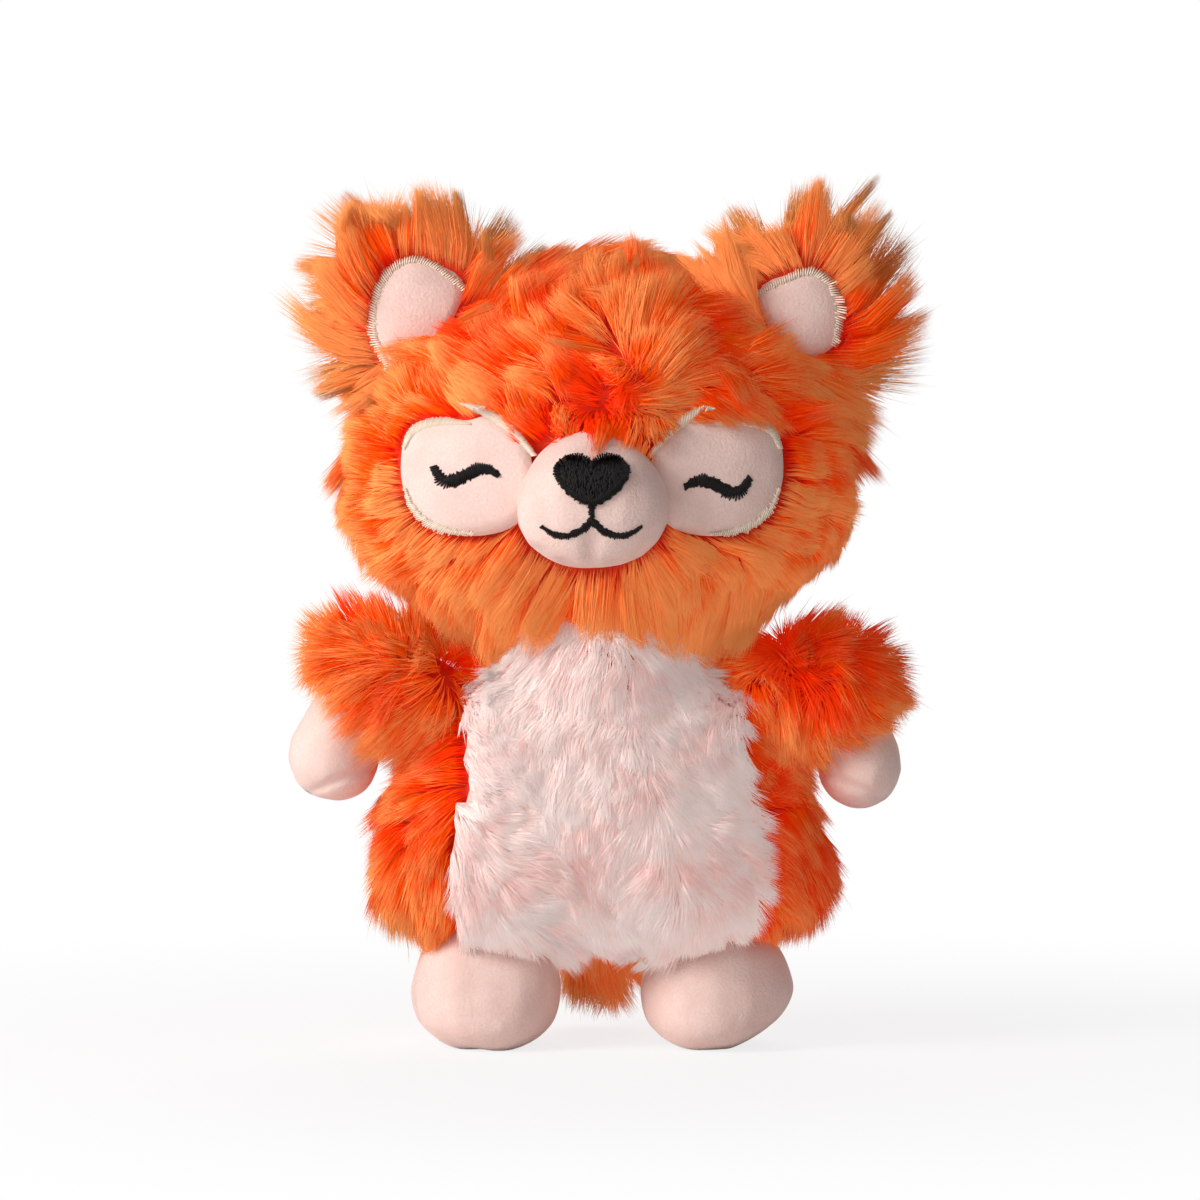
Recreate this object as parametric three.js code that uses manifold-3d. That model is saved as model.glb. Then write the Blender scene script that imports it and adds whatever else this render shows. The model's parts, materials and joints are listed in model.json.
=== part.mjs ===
// A stuffed plush dog toy: a shaggy orange animal with a big head, short-plush face patches, sewn limbs
// that swing at their seams and a squeaker in its belly. Millimetres, +Z up, the face looks along -Y,
// and the origin lies on the floor under the middle of the toy. Left and right are the viewer's.
import * as THREE from "three";
import { mergeVertices } from "three/addons/utils/BufferGeometryUtils.js";
import Module from "manifold-3d";

const wasm = await Module();
wasm.setup();

// Cloth and sewing
const SEAM_GAP = 0.3; // between pieces that are sewn, stuffed or pressed together
const FUR_COVER = 8; // backing and pile of the long fur, as one layer
const PLUSH_COVER = 1.5; // backing and nap of the short plush
const PATCH_THICKNESS = 1.2;
const STITCH_WIDTH = 2; // satin borders
const STITCH_HEIGHT = 1.4;
const THREAD_HEIGHT = 1; // embroidered lines and fills

// Feet
const FOOT_WIDTH = 31;
const FOOT_LENGTH = 37;
const FOOT_HEIGHT = 25;
const FOOT_FULLNESS = 3.4; // 2 is an ellipsoid, and more is flatter under the sole
const FOOT_ROOT_RADIUS = 9;
const FOOT_OPENING = 5;
const FEET_APART = 15;
const FOOT_SPLAY = 0.16; // share by which it is wider below and narrower above
const FOOT_ROOT_RISE = 2; // over the body's underside
const TOE_REACH = 1; // the foot's middle lies this far in front of its seam
const SOLE_CUT = 0.5; // the soles are pressed flat by this much
const FOOT_SWING = 15; // degrees each way

// Body
const BODY_BASE = 20; // height of the body's underside
const BODY_HEIGHT = 58;
const BELLY_WIDTH = 107;
const BELLY_DEPTH = 60;
const SHOULDER_WIDTH = 70;
const SHOULDER_DEPTH = 46;
const BODY_FULLNESS = 3.2; // 2 is an ellipsoid, and more is boxier
const BODY_CORNERS = 2.4;
const BODY_SETBACK = 5; // the body's middle lies this far behind the origin
const PANEL_WIDTH = 60;
const PANEL_TOP_WIDTH = 44;
const PANEL_BASE = 21;
const PANEL_HEIGHT = 53;
const PANEL_CORNER = 14;
const PANEL_PILE = 4;

// Neck
const NECK_RADIUS = 20;
const NECK_RISE = 11; // the neck ball stands this far over the body's top
const NECK_OPENING = 9;
const NECK_THREAD = 0.8; // radius of the ring of stitches
const NECK_SEAM_ANGLE = 61; // degrees from the top of the neck ball to the ring of stitches
const HEAD_TURN = 20; // degrees each way
const HEAD_NOD = 10;

// Head
const HEAD_HEIGHT = 81;
const HEAD_SINK = 7; // the neck ball reaches this far into the head
const JAW_WIDTH = 135;
const JAW_DEPTH = 86;
const CROWN_WIDTH = 70;
const CROWN_DEPTH = 62;
const HEAD_FULLNESS = 2.1;
const HEAD_SETBACK = 6.5;
const FACE_SHIFT = 2; // the face looks this far to the viewer's left

// Muzzle, nose and mouth, with heights over the head's underside
const MUZZLE_WIDTH = 31;
const MUZZLE_HEIGHT = 28;
const MUZZLE_SAG = 0.04; // share by which it is wider below and narrower above
const MUZZLE_REACH = 11; // how far it stands out of the face
const MUZZLE_RISE = 28.5;
const NOSE_WIDTH = 15;
const NOSE_HEIGHT = 10;
const NOSE_RISE = 32.5;
const MOUTH_WIDTH = 19;
const MOUTH_DROP = 3; // the corners of the mouth hang this far under its middle
const MOUTH_RISE = 24;
const MOUTH_LINE = 1.4;

// Eye patches
const PATCH_WIDTH = 26;
const PATCH_HEIGHT = 26;
const PATCH_SPREAD = 24.5; // from the middle of the face to the middle of a patch
const PATCH_RISE = 33.5;
const EYE_LENGTH = 12.5;
const EYE_WAVE = 1.5;
const EYE_LINE = 2.1;

// Ears
const EAR_LENGTH = 46; // along the root line
const EAR_HEIGHT = 42; // across the root line
const EAR_THICKNESS = 13;
const EAR_TAPER = 0.8; // its upper end, as a share of its lower end
const EAR_LEAN = 41; // degrees that an ear leans outwards
const EAR_SPREAD = 40.5; // from the middle of the head to the middle of an ear
const EAR_RISE = 69;
const EAR_FORWARD = 7; // in front of the head's middle
const EAR_ROOT_RADIUS = 5.5;
const EAR_ROOT_LENGTH = 26;
const EAR_ROOT_DEPTH = 12; // from the ear's middle in to its root line
const LINING_WIDTH = 25;
const LINING_HEIGHT = 19;
const LINING_SHIFT = 3; // the lining's middle lies this far towards the root
const EAR_FOLD = 15; // degrees each way

// Arms
const SHOULDER_RISE = 50; // over the body's underside
const ARM_FORWARD = 3; // in front of the body's middle
const ARM_REACH = 24; // from the shoulder out to the tip of the hand
const ARM_DROP = 21.5; // from the shoulder down to the tip of the hand
const ELBOW_REACH = 16.5;
const ELBOW_RISE = 8;
const ARM_ROOT_RADIUS = 10;
const SLEEVE_RADIUS = 13.5;
const SLEEVE_LENGTH = 21;
const SLEEVE_BORE = 7.5;
const HAND_RADIUS = 10.5;
const WRIST_TUCK = 5; // the hand's wrist reaches this far into the sleeve
const WRIST_FLARE = 2.5; // over this length the wrist swells to the palm
const ARM_LIFT = { left: 3, right: -2 }; // degrees, as the toy was posed
const ARM_UP = 16; // degrees
const ARM_DOWN = 4;
const ARM_PLAY = 1; // degrees of room past that range

// Tail
const TAIL_WIDTH = 18;
const TAIL_DEPTH = 16;
const TAIL_SETBACK = 3; // its middle lies this far behind its root
const TAIL_LENGTH = 31;
const TAIL_TAPER = 0.85; // its upper end, as a share of its lower end
const TAIL_RISE = 12; // its root over the body's underside
const TAIL_ROOT_RADIUS = 6;
const TAIL_WAG = 20; // degrees each way

// Squeaker
const SQUEAKER_RADIUS = 15;
const SQUEAKER_HEIGHT = 21;
const SQUEAKER_WALL = 1.2;
const SQUEAKER_RIBS = 3;
const RIB_DEPTH = 2.5;
const SQUEAKER_RISE = 16; // over the body's underside
const REED_RADIUS = 4;
const REED_LENGTH = 8;
const REED_FLANGE = 5.5;
const REED_FLANGE_HEIGHT = 1.5;
const SQUEEZE = 8; // how far the bellows gives

// Softness of the small stuffed forms
const SOFT_FULLNESS = 2.4;
const SOFT_CORNERS = 2.2;

// Fineness of the sewn forms
const AROUND = 18;
const ALONG = 10;
const AROUND_LIMB = 12;
const AROUND_ROOT = 16;
const ALONG_ROOT = 10;
const ALONG_SMALL = 8;
const NECK_AROUND = 24;
const NECK_ALONG = 14;
const CURVE_STEPS = 6; // on each curve of a flat outline
const LINE_STEPS = 10; // along a line of thread
const SWELL_STEPS = 12; // along a sleeve
const BEND_STEP = 4; // millimetres between rings on a bent limb

const RIGHT_AXIS = new THREE.Vector3(1, 0, 0);
const BACK_AXIS = new THREE.Vector3(0, 1, 0);
const UP_AXIS = new THREE.Vector3(0, 0, 1);
const SIDES = { left: -1, right: 1 };

// Solids and geometry

function closed(geometry) {
  const bare = geometry.clone();
  for (const name of Object.keys(bare.attributes)) {
    if (name !== "position") bare.deleteAttribute(name);
  }
  return mergeVertices(bare, 1e-4);
}

function solid(geometry) {
  const merged = closed(geometry);
  const vertProperties = merged.attributes.position.array;
  const triVerts = new Uint32Array(merged.index.array);
  const made = new wasm.Manifold(new wasm.Mesh({ numProp: 3, vertProperties, triVerts }));
  if (made.volume() > 0) return made;
  for (let i = 0; i < triVerts.length; i += 3) {
    [triVerts[i], triVerts[i + 1]] = [triVerts[i + 1], triVerts[i]];
  }
  return new wasm.Manifold(new wasm.Mesh({ numProp: 3, vertProperties, triVerts }));
}

function geometryOf(manifold) {
  const mesh = manifold.getMesh();
  return new THREE.BufferGeometry()
    .setAttribute("position", new THREE.BufferAttribute(mesh.vertProperties, 3))
    .setIndex(new THREE.BufferAttribute(mesh.triVerts, 1));
}

// A closed form pushed out, or in, along its own normals.
function grown(form, distance) {
  const larger = closed(form);
  larger.computeVertexNormals();
  const place = larger.attributes.position;
  const normal = larger.attributes.normal;
  for (let i = 0; i < place.count; i++) {
    place.setXYZ(
      i,
      place.getX(i) + normal.getX(i) * distance,
      place.getY(i) + normal.getY(i) * distance,
      place.getZ(i) + normal.getZ(i) * distance,
    );
  }
  return larger;
}

// A solid turned about an axis through a pivot.
function turned(manifold, pivot, axis, degrees) {
  const turn = new THREE.Matrix4()
    .makeTranslation(pivot.x, pivot.y, pivot.z)
    .multiply(new THREE.Matrix4().makeRotationAxis(axis, THREE.MathUtils.degToRad(degrees)))
    .multiply(new THREE.Matrix4().makeTranslation(-pivot.x, -pivot.y, -pivot.z));
  return solid(geometryOf(manifold).applyMatrix4(turn));
}

// What a solid sweeps through as it turns from one angle to the other.
function swept(manifold, pivot, axis, from, to, steps) {
  let all = manifold;
  for (let i = 0; i <= steps; i++) {
    const degrees = from + ((to - from) * i) / steps;
    if (degrees !== 0) all = all.add(turned(manifold, pivot, axis, degrees));
  }
  return all;
}

function ball(center, radius, around = AROUND_ROOT, along = ALONG_ROOT) {
  return solid(new THREE.SphereGeometry(radius, around, along).translate(center.x, center.y, center.z));
}

function rod(radius, from, to) {
  const form = new THREE.CylinderGeometry(radius, radius, from.distanceTo(to), AROUND_ROOT);
  const middle = from.clone().add(to).multiplyScalar(0.5);
  const along = to.clone().sub(from).normalize();
  form.applyQuaternion(new THREE.Quaternion().setFromUnitVectors(BACK_AXIS, along));
  return solid(form.translate(middle.x, middle.y, middle.z));
}

// Sewn forms

const power = (value, exponent) => Math.sign(value) * Math.abs(value) ** exponent;

// A stuffed bag standing on z = 0: it swells between its ends, and tapers from its lower to its upper size.
function pillow({ lower, upper, height, fullness, corners, around = AROUND, along = ALONG }) {
  const form = new THREE.SphereGeometry(1, around, along).rotateX(Math.PI / 2);
  const place = form.attributes.position;
  for (let i = 0; i < place.count; i++) {
    const latitude = Math.asin(THREE.MathUtils.clamp(place.getZ(i), -1, 1));
    const longitude = Math.atan2(place.getY(i), place.getX(i));
    const rise = (1 + power(Math.sin(latitude), 2 / fullness)) / 2;
    const spread = power(Math.cos(latitude), 2 / fullness) / 2;
    place.setXYZ(
      i,
      spread * power(Math.cos(longitude), 2 / corners) * THREE.MathUtils.lerp(lower[0], upper[0], rise),
      spread * power(Math.sin(longitude), 2 / corners) * THREE.MathUtils.lerp(lower[1], upper[1], rise),
      rise * height,
    );
  }
  return closed(form);
}

// Half the width or depth of a pillow at a height over its base.
function halfAt(lower, upper, height, fullness, rise) {
  const share = rise / height;
  const spread = (1 - Math.abs(2 * share - 1) ** fullness) ** (1 / fullness);
  return (THREE.MathUtils.lerp(lower, upper, share) / 2) * spread;
}

// A flat outline in front view, as a block from one depth to another.
function block(shape, front, back) {
  const depth = back - front;
  const form = new THREE.ExtrudeGeometry(shape, { depth, bevelEnabled: false, curveSegments: CURVE_STEPS });
  return solid(form.rotateX(Math.PI / 2).translate(0, back, 0));
}

// A layer of cloth that lies over a form, a gap away from it.
function layer(form, from, to) {
  return solid(grown(form, to)).subtract(solid(grown(form, from)));
}

// A line of thread along a curve, widest in its middle, as a flat outline.
function threadLine(curve, width, tip) {
  const left = [];
  const right = [];
  for (let i = 0; i <= LINE_STEPS; i++) {
    const share = i / LINE_STEPS;
    const middle = curve.getPoint(share);
    const along = curve.getTangent(share);
    const half = (width / 2) * (tip + (1 - tip) * Math.sin(Math.PI * share));
    left.push(new THREE.Vector2(middle.x - along.y * half, middle.y + along.x * half));
    right.unshift(new THREE.Vector2(middle.x + along.y * half, middle.y - along.x * half));
  }
  return new THREE.Shape([...left, ...right]);
}

// Turned profiles

function lathe(profile, around = AROUND) {
  return new THREE.LatheGeometry(profile.map(([radius, along]) => new THREE.Vector2(radius, along)), around);
}

// The scene graph: a group for each body, which turns about an axis through its own origin

const bodies = {};

function body(name, parent, point, axis, range) {
  const made = new THREE.Group();
  made.name = name;
  made.position.copy(point);
  made.userData = { point, axis, range };
  if (parent) {
    made.position.sub(bodies[parent].userData.point);
    bodies[parent].add(made);
  }
  bodies[name] = made;
  return made;
}

function part(owner, name, manifold, color, roughness) {
  const { point } = bodies[owner].userData;
  const geometry = geometryOf(manifold).translate(-point.x, -point.y, -point.z);
  const mesh = new THREE.Mesh(geometry, new THREE.MeshStandardMaterial({ color, roughness, metalness: 0 }));
  mesh.name = name;
  bodies[owner].add(mesh);
}

const group = body("body", null, new THREE.Vector3());

const ORANGE_FUR = "#f06e28";
const PINK_PLUSH = "#fae1d7";
const PALE_FUR = "#f0dcd7";
const CREAM_THREAD = "#f0e1c8";
const BLACK_THREAD = "#19191c";
const WHITE_FILLING = "#f4f2ec";
const CLEAR_PLASTIC = "#dfe6ea";
const REED_PLASTIC = "#4a86c8";

// Body

const bodyForm = pillow({
  lower: [BELLY_WIDTH, BELLY_DEPTH],
  upper: [SHOULDER_WIDTH, SHOULDER_DEPTH],
  height: BODY_HEIGHT,
  fullness: BODY_FULLNESS,
  corners: BODY_CORNERS,
}).translate(0, BODY_SETBACK, BODY_BASE);
const bodyTop = BODY_BASE + BODY_HEIGHT;
const neck = new THREE.Vector3(0, BODY_SETBACK, bodyTop + NECK_RISE - NECK_RADIUS);
body("neck", "body", neck, UP_AXIS, [-HEAD_TURN, HEAD_TURN]);
body("head", "neck", neck, RIGHT_AXIS, [-HEAD_NOD, HEAD_NOD]);
const torso = solid(bodyForm).add(ball(neck, NECK_RADIUS, NECK_AROUND, NECK_ALONG));

// The belly panel: straight sides that widen downwards to round corners.
function panelOutline() {
  const half = PANEL_WIDTH / 2;
  const top = PANEL_BASE + PANEL_HEIGHT;
  const shape = new THREE.Shape();
  shape.moveTo(-half + PANEL_CORNER, PANEL_BASE);
  shape.lineTo(half - PANEL_CORNER, PANEL_BASE);
  shape.quadraticCurveTo(half, PANEL_BASE, half, PANEL_BASE + PANEL_CORNER);
  shape.lineTo(PANEL_TOP_WIDTH / 2, top);
  shape.lineTo(-PANEL_TOP_WIDTH / 2, top);
  shape.lineTo(-half, PANEL_BASE + PANEL_CORNER);
  shape.quadraticCurveTo(-half, PANEL_BASE, -half + PANEL_CORNER, PANEL_BASE);
  return shape;
}
const panelBlock = block(panelOutline(), BODY_SETBACK - BELLY_DEPTH, BODY_SETBACK);
const panel = layer(bodyForm, SEAM_GAP, PANEL_PILE).intersect(panelBlock);
const dressedTorso = torso.add(panelBlock.intersect(solid(grown(bodyForm, PANEL_PILE))));

// Head

const headBase = neck.z + NECK_RADIUS - HEAD_SINK;
const headForm = pillow({
  lower: [JAW_WIDTH, JAW_DEPTH],
  upper: [CROWN_WIDTH, CROWN_DEPTH],
  height: HEAD_HEIGHT,
  fullness: HEAD_FULLNESS,
  corners: SOFT_CORNERS,
}).translate(0, HEAD_SETBACK, headBase);
const head = solid(headForm);
const headClear = solid(grown(headForm, SEAM_GAP));
const faceDepth = HEAD_SETBACK - JAW_DEPTH / 2;
const faceBlock = (shape) => block(shape, faceDepth - JAW_DEPTH, HEAD_SETBACK);

// Muzzle

const muzzleMiddle = new THREE.Vector3(
  -FACE_SHIFT,
  HEAD_SETBACK - halfAt(JAW_DEPTH, CROWN_DEPTH, HEAD_HEIGHT, HEAD_FULLNESS, MUZZLE_RISE),
  headBase + MUZZLE_RISE,
);
const muzzleForm = pillow({
  lower: [MUZZLE_WIDTH * (1 + MUZZLE_SAG), 2 * MUZZLE_REACH],
  upper: [MUZZLE_WIDTH * (1 - MUZZLE_SAG), 2 * MUZZLE_REACH],
  height: MUZZLE_HEIGHT,
  fullness: SOFT_CORNERS,
  corners: SOFT_CORNERS,
  around: AROUND_ROOT,
  along: ALONG_ROOT,
}).translate(muzzleMiddle.x, muzzleMiddle.y, muzzleMiddle.z - MUZZLE_HEIGHT / 2);
const muzzleClear = solid(grown(muzzleForm, SEAM_GAP));
part(
  "head",
  "muzzle_cover",
  solid(muzzleForm).subtract(solid(grown(muzzleForm, -PLUSH_COVER))).subtract(headClear),
  PINK_PLUSH,
  0.95,
);
const muzzleFilling = solid(grown(muzzleForm, -PLUSH_COVER - SEAM_GAP)).subtract(headClear);
part("head", "muzzle_stuffing", muzzleFilling, WHITE_FILLING, 1);

// The nose: a heart with two lobes and a blunt tip.
function heartOutline(middle, width, height) {
  const { x, y } = middle;
  const w = width / 2;
  const h = height / 2;
  const shape = new THREE.Shape();
  shape.moveTo(x, y - h);
  shape.bezierCurveTo(x + w * 0.7, y - h * 0.7, x + w, y, x + w, y + h * 0.35);
  shape.bezierCurveTo(x + w, y + h, x + w * 0.3, y + h * 1.2, x, y + h * 0.6);
  shape.bezierCurveTo(x - w * 0.3, y + h * 1.2, x - w, y + h, x - w, y + h * 0.35);
  shape.bezierCurveTo(x - w, y, x - w * 0.7, y - h * 0.7, x, y - h);
  return shape;
}
const muzzleThread = layer(muzzleForm, SEAM_GAP, SEAM_GAP + THREAD_HEIGHT);
const noseMiddle = new THREE.Vector2(-FACE_SHIFT, headBase + NOSE_RISE);
const muzzleBlock = (shape) => block(shape, faceDepth - JAW_DEPTH, muzzleMiddle.y);
const noseBlock = muzzleBlock(heartOutline(noseMiddle, NOSE_WIDTH, NOSE_HEIGHT));
part("head", "nose", noseBlock.intersect(muzzleThread), BLACK_THREAD, 0.6);

// The mouth: a stem under the nose that parts into two smiling curves.
const mouthMiddle = new THREE.Vector2(-FACE_SHIFT, headBase + MOUTH_RISE);
const noseTip = new THREE.Vector2(-FACE_SHIFT, noseMiddle.y - NOSE_HEIGHT / 2 - SEAM_GAP);
let mouth = muzzleBlock(threadLine(new THREE.LineCurve(noseTip, mouthMiddle), MOUTH_LINE, 1));
for (const side of Object.values(SIDES)) {
  const corner = new THREE.Vector2(mouthMiddle.x + (side * MOUTH_WIDTH) / 2, mouthMiddle.y - MOUTH_DROP / 3);
  const dip = new THREE.Vector2(mouthMiddle.x + (side * MOUTH_WIDTH) / 3.4, mouthMiddle.y - MOUTH_DROP * 1.7);
  const curve = new THREE.QuadraticBezierCurve(mouthMiddle, dip, corner);
  mouth = mouth.add(muzzleBlock(threadLine(curve, MOUTH_LINE, 0.7)));
}
part("head", "mouth", mouth.intersect(muzzleThread), BLACK_THREAD, 0.6);

// Eye patches, each with a brow that ends in a flick towards the middle of the forehead

function patchOutline(middle, side, inset) {
  const w = (PATCH_WIDTH / 2 - inset) * -side;
  const h = PATCH_HEIGHT / 2 - inset;
  const { x, y } = middle;
  const shape = new THREE.Shape();
  shape.moveTo(x - w, y);
  shape.bezierCurveTo(x - w, y + h * 0.75, x - w * 0.6, y + h * 0.85, x, y + h * 0.8);
  if (!inset) shape.lineTo(x - w * 0.05, y + h);
  shape.bezierCurveTo(x + w * 0.4, y + h, x + w * 0.8, y + h * 0.6, x + w, y + h * 0.3);
  shape.bezierCurveTo(x + w, y - h * 0.6, x + w * 0.6, y - h, x, y - h);
  shape.bezierCurveTo(x - w * 0.6, y - h, x - w, y - h * 0.6, x - w, y);
  return shape;
}

// A closed eye: a wave that starts high at its outer end.
function eyeLine(middle, side) {
  const half = EYE_LENGTH / 2;
  const points = [
    [-1, 0.6],
    [-0.5, -1],
    [0.35, 0.7],
    [1, -0.3],
  ].map(([x, y]) => new THREE.Vector2(middle.x - side * x * half, middle.y + y * EYE_WAVE));
  return threadLine(new THREE.SplineCurve(points), EYE_LINE, 0.5);
}

const patchLayer = layer(headForm, SEAM_GAP, SEAM_GAP + PATCH_THICKNESS);
const patchEdgeLayer = layer(headForm, SEAM_GAP, SEAM_GAP + STITCH_HEIGHT);
const eyeBase = 2 * SEAM_GAP + PATCH_THICKNESS;
const eyeLayer = layer(headForm, eyeBase, eyeBase + THREAD_HEIGHT);
for (const [name, side] of Object.entries(SIDES)) {
  const middle = new THREE.Vector2(side * PATCH_SPREAD - FACE_SHIFT, headBase + PATCH_RISE);
  const field = (inset) => faceBlock(patchOutline(middle, side, inset)).subtract(muzzleClear);
  part("head", `eye_patch_${name}`, field(STITCH_WIDTH + SEAM_GAP).intersect(patchLayer), PINK_PLUSH, 0.95);
  const edgeBlock = field(0).subtract(field(STITCH_WIDTH));
  part("head", `eye_patch_edge_${name}`, edgeBlock.intersect(patchEdgeLayer), CREAM_THREAD, 0.7);
  part("head", `eye_${name}`, faceBlock(eyeLine(middle, side)).intersect(eyeLayer), BLACK_THREAD, 0.6);
}

// Ears

let earRoots = null;
for (const [name, side] of Object.entries(SIDES)) {
  const lean = THREE.MathUtils.degToRad(EAR_LEAN) * side;
  const stand = (form) =>
    form
      .rotateY(lean)
      .translate(side * EAR_SPREAD, HEAD_SETBACK - EAR_FORWARD, headBase + EAR_RISE);
  const earForm = stand(
    pillow({
      lower: [EAR_LENGTH, EAR_THICKNESS],
      upper: [EAR_LENGTH * EAR_TAPER, EAR_THICKNESS],
      height: EAR_HEIGHT,
      fullness: SOFT_FULLNESS,
      corners: SOFT_CORNERS,
      around: AROUND_ROOT,
      along: ALONG_SMALL,
    }).translate(0, 0, -EAR_HEIGHT / 2),
  );
  const rootLine = new THREE.Vector3(Math.cos(lean), 0, -Math.sin(lean));
  const rootMiddle = new THREE.Vector3(
    side * EAR_SPREAD - Math.sin(lean) * EAR_ROOT_DEPTH,
    HEAD_SETBACK - EAR_FORWARD,
    headBase + EAR_RISE - Math.cos(lean) * EAR_ROOT_DEPTH,
  );
  const bodyName = `ear_body_${name}`;
  body(bodyName, "head", rootMiddle, rootLine, [-EAR_FOLD, EAR_FOLD]);
  const rollEnd = (by) => rootMiddle.clone().addScaledVector(rootLine, by);
  const rollHalf = EAR_ROOT_LENGTH / 2;
  const roll = rod(EAR_ROOT_RADIUS, rollEnd(-rollHalf), rollEnd(rollHalf));
  const seat = rod(
    EAR_ROOT_RADIUS + SEAM_GAP,
    rollEnd(-rollHalf - SEAM_GAP),
    rollEnd(rollHalf + SEAM_GAP),
  );
  const headPath = swept(headClear, rootMiddle, rootLine, -EAR_FOLD, EAR_FOLD, 2);
  part(bodyName, `ear_${name}`, solid(earForm).subtract(headPath).add(roll), ORANGE_FUR, 1);
  earRoots = earRoots ? earRoots.add(seat) : seat;

  // The lining: a rounded triangle on the front of the ear, with its stitched edge.
  const liningOutline = (inset) => {
    const half = LINING_WIDTH / 2 - inset;
    const high = LINING_HEIGHT / 2 - inset;
    const shape = new THREE.Shape();
    shape.moveTo(-half, -high);
    shape.quadraticCurveTo(-half * 0.9, high * 0.7, 0, high);
    shape.quadraticCurveTo(half * 0.9, high * 0.7, half, -high);
    shape.quadraticCurveTo(0, -high * 1.5, -half, -high);
    return shape;
  };
  const field = (inset) => {
    const form = new THREE.ExtrudeGeometry(liningOutline(inset), {
      depth: EAR_THICKNESS,
      bevelEnabled: false,
      curveSegments: CURVE_STEPS,
    });
    return solid(stand(form.rotateX(Math.PI / 2).translate(0, 0, -LINING_SHIFT)));
  };
  const liningLayer = layer(earForm, SEAM_GAP, SEAM_GAP + PATCH_THICKNESS);
  const lining = field(STITCH_WIDTH + SEAM_GAP).intersect(liningLayer);
  part(bodyName, `ear_lining_${name}`, lining.subtract(headPath).subtract(seat), PINK_PLUSH, 0.95);
  const edgeLayer = layer(earForm, SEAM_GAP, SEAM_GAP + STITCH_HEIGHT);
  const edge = field(0).subtract(field(STITCH_WIDTH)).intersect(edgeLayer);
  part(bodyName, `ear_edge_${name}`, edge.subtract(headPath).subtract(seat), CREAM_THREAD, 0.7);
}

// The head's cover and filling, open at the neck

const neckMouth = rod(
  NECK_OPENING,
  neck.clone(),
  new THREE.Vector3(neck.x, neck.y, headBase + FUR_COVER + HEAD_SINK),
);
const neckSeat = ball(neck, NECK_RADIUS + SEAM_GAP, NECK_AROUND, NECK_ALONG);
const headHollow = solid(grown(headForm, -FUR_COVER));
part(
  "head",
  "head_cover",
  head.subtract(headHollow).subtract(neckMouth).subtract(neckSeat).subtract(earRoots),
  ORANGE_FUR,
  1,
);
const headFilling = solid(grown(headForm, -FUR_COVER - SEAM_GAP)).subtract(earRoots);
part("head", "head_stuffing", headFilling, WHITE_FILLING, 1);

// The ring of stitches round the neck

const seamAngle = THREE.MathUtils.degToRad(NECK_SEAM_ANGLE);
const seamDistance = NECK_RADIUS + SEAM_GAP + NECK_THREAD;
const neckRing = new THREE.TorusGeometry(seamDistance * Math.sin(seamAngle), NECK_THREAD, 5, NECK_AROUND)
  .translate(neck.x, neck.y, neck.z + seamDistance * Math.cos(seamAngle));
part("neck", "neck_seam", solid(neckRing), ORANGE_FUR, 0.8);

// Arms

const shoulderHeight = BODY_BASE + SHOULDER_RISE;
const shoulderSpread = halfAt(BELLY_WIDTH, SHOULDER_WIDTH, BODY_HEIGHT, BODY_FULLNESS, SHOULDER_RISE);
const limbRoots = [];

// A profile with a point at least every few millimetres, so that it can follow a bend.
function stepped(profile) {
  const fine = [];
  profile.forEach(([radius, along], i) => {
    const [before, start] = profile[Math.max(i - 1, 0)];
    const steps = Math.max(Math.ceil(Math.abs(along - start) / BEND_STEP), 1);
    for (let k = 1; k <= steps; k++) {
      const share = k / steps;
      fine.push([THREE.MathUtils.lerp(before, radius, share), THREE.MathUtils.lerp(start, along, share)]);
    }
  });
  return fine;
}

// A form along +Y laid along a curve in a front-view plane.
function bent(form, curve) {
  const length = curve.getLength();
  const place = form.attributes.position;
  for (let i = 0; i < place.count; i++) {
    const along = THREE.MathUtils.clamp(place.getY(i) / length, 0, 1);
    const over = place.getY(i) - along * length;
    const tangent = curve.getTangentAt(along);
    const point = curve
      .getPointAt(along)
      .addScaledVector(tangent, over)
      .addScaledVector(new THREE.Vector3().crossVectors(tangent, BACK_AXIS), place.getX(i))
      .addScaledVector(BACK_AXIS, place.getZ(i));
    place.setXYZ(i, point.x, point.y, point.z);
  }
  return form;
}

// A smooth profile from the axis through a few radii and back to the axis.
function swelling(points, steps) {
  return new THREE.SplineCurve(points.map(([radius, along]) => new THREE.Vector2(radius, along)))
    .getPoints(steps)
    .map((p, i) => [i === 0 || i === steps ? points[i && points.length - 1][0] : Math.max(p.x, 0.1), p.y]);
}

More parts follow.
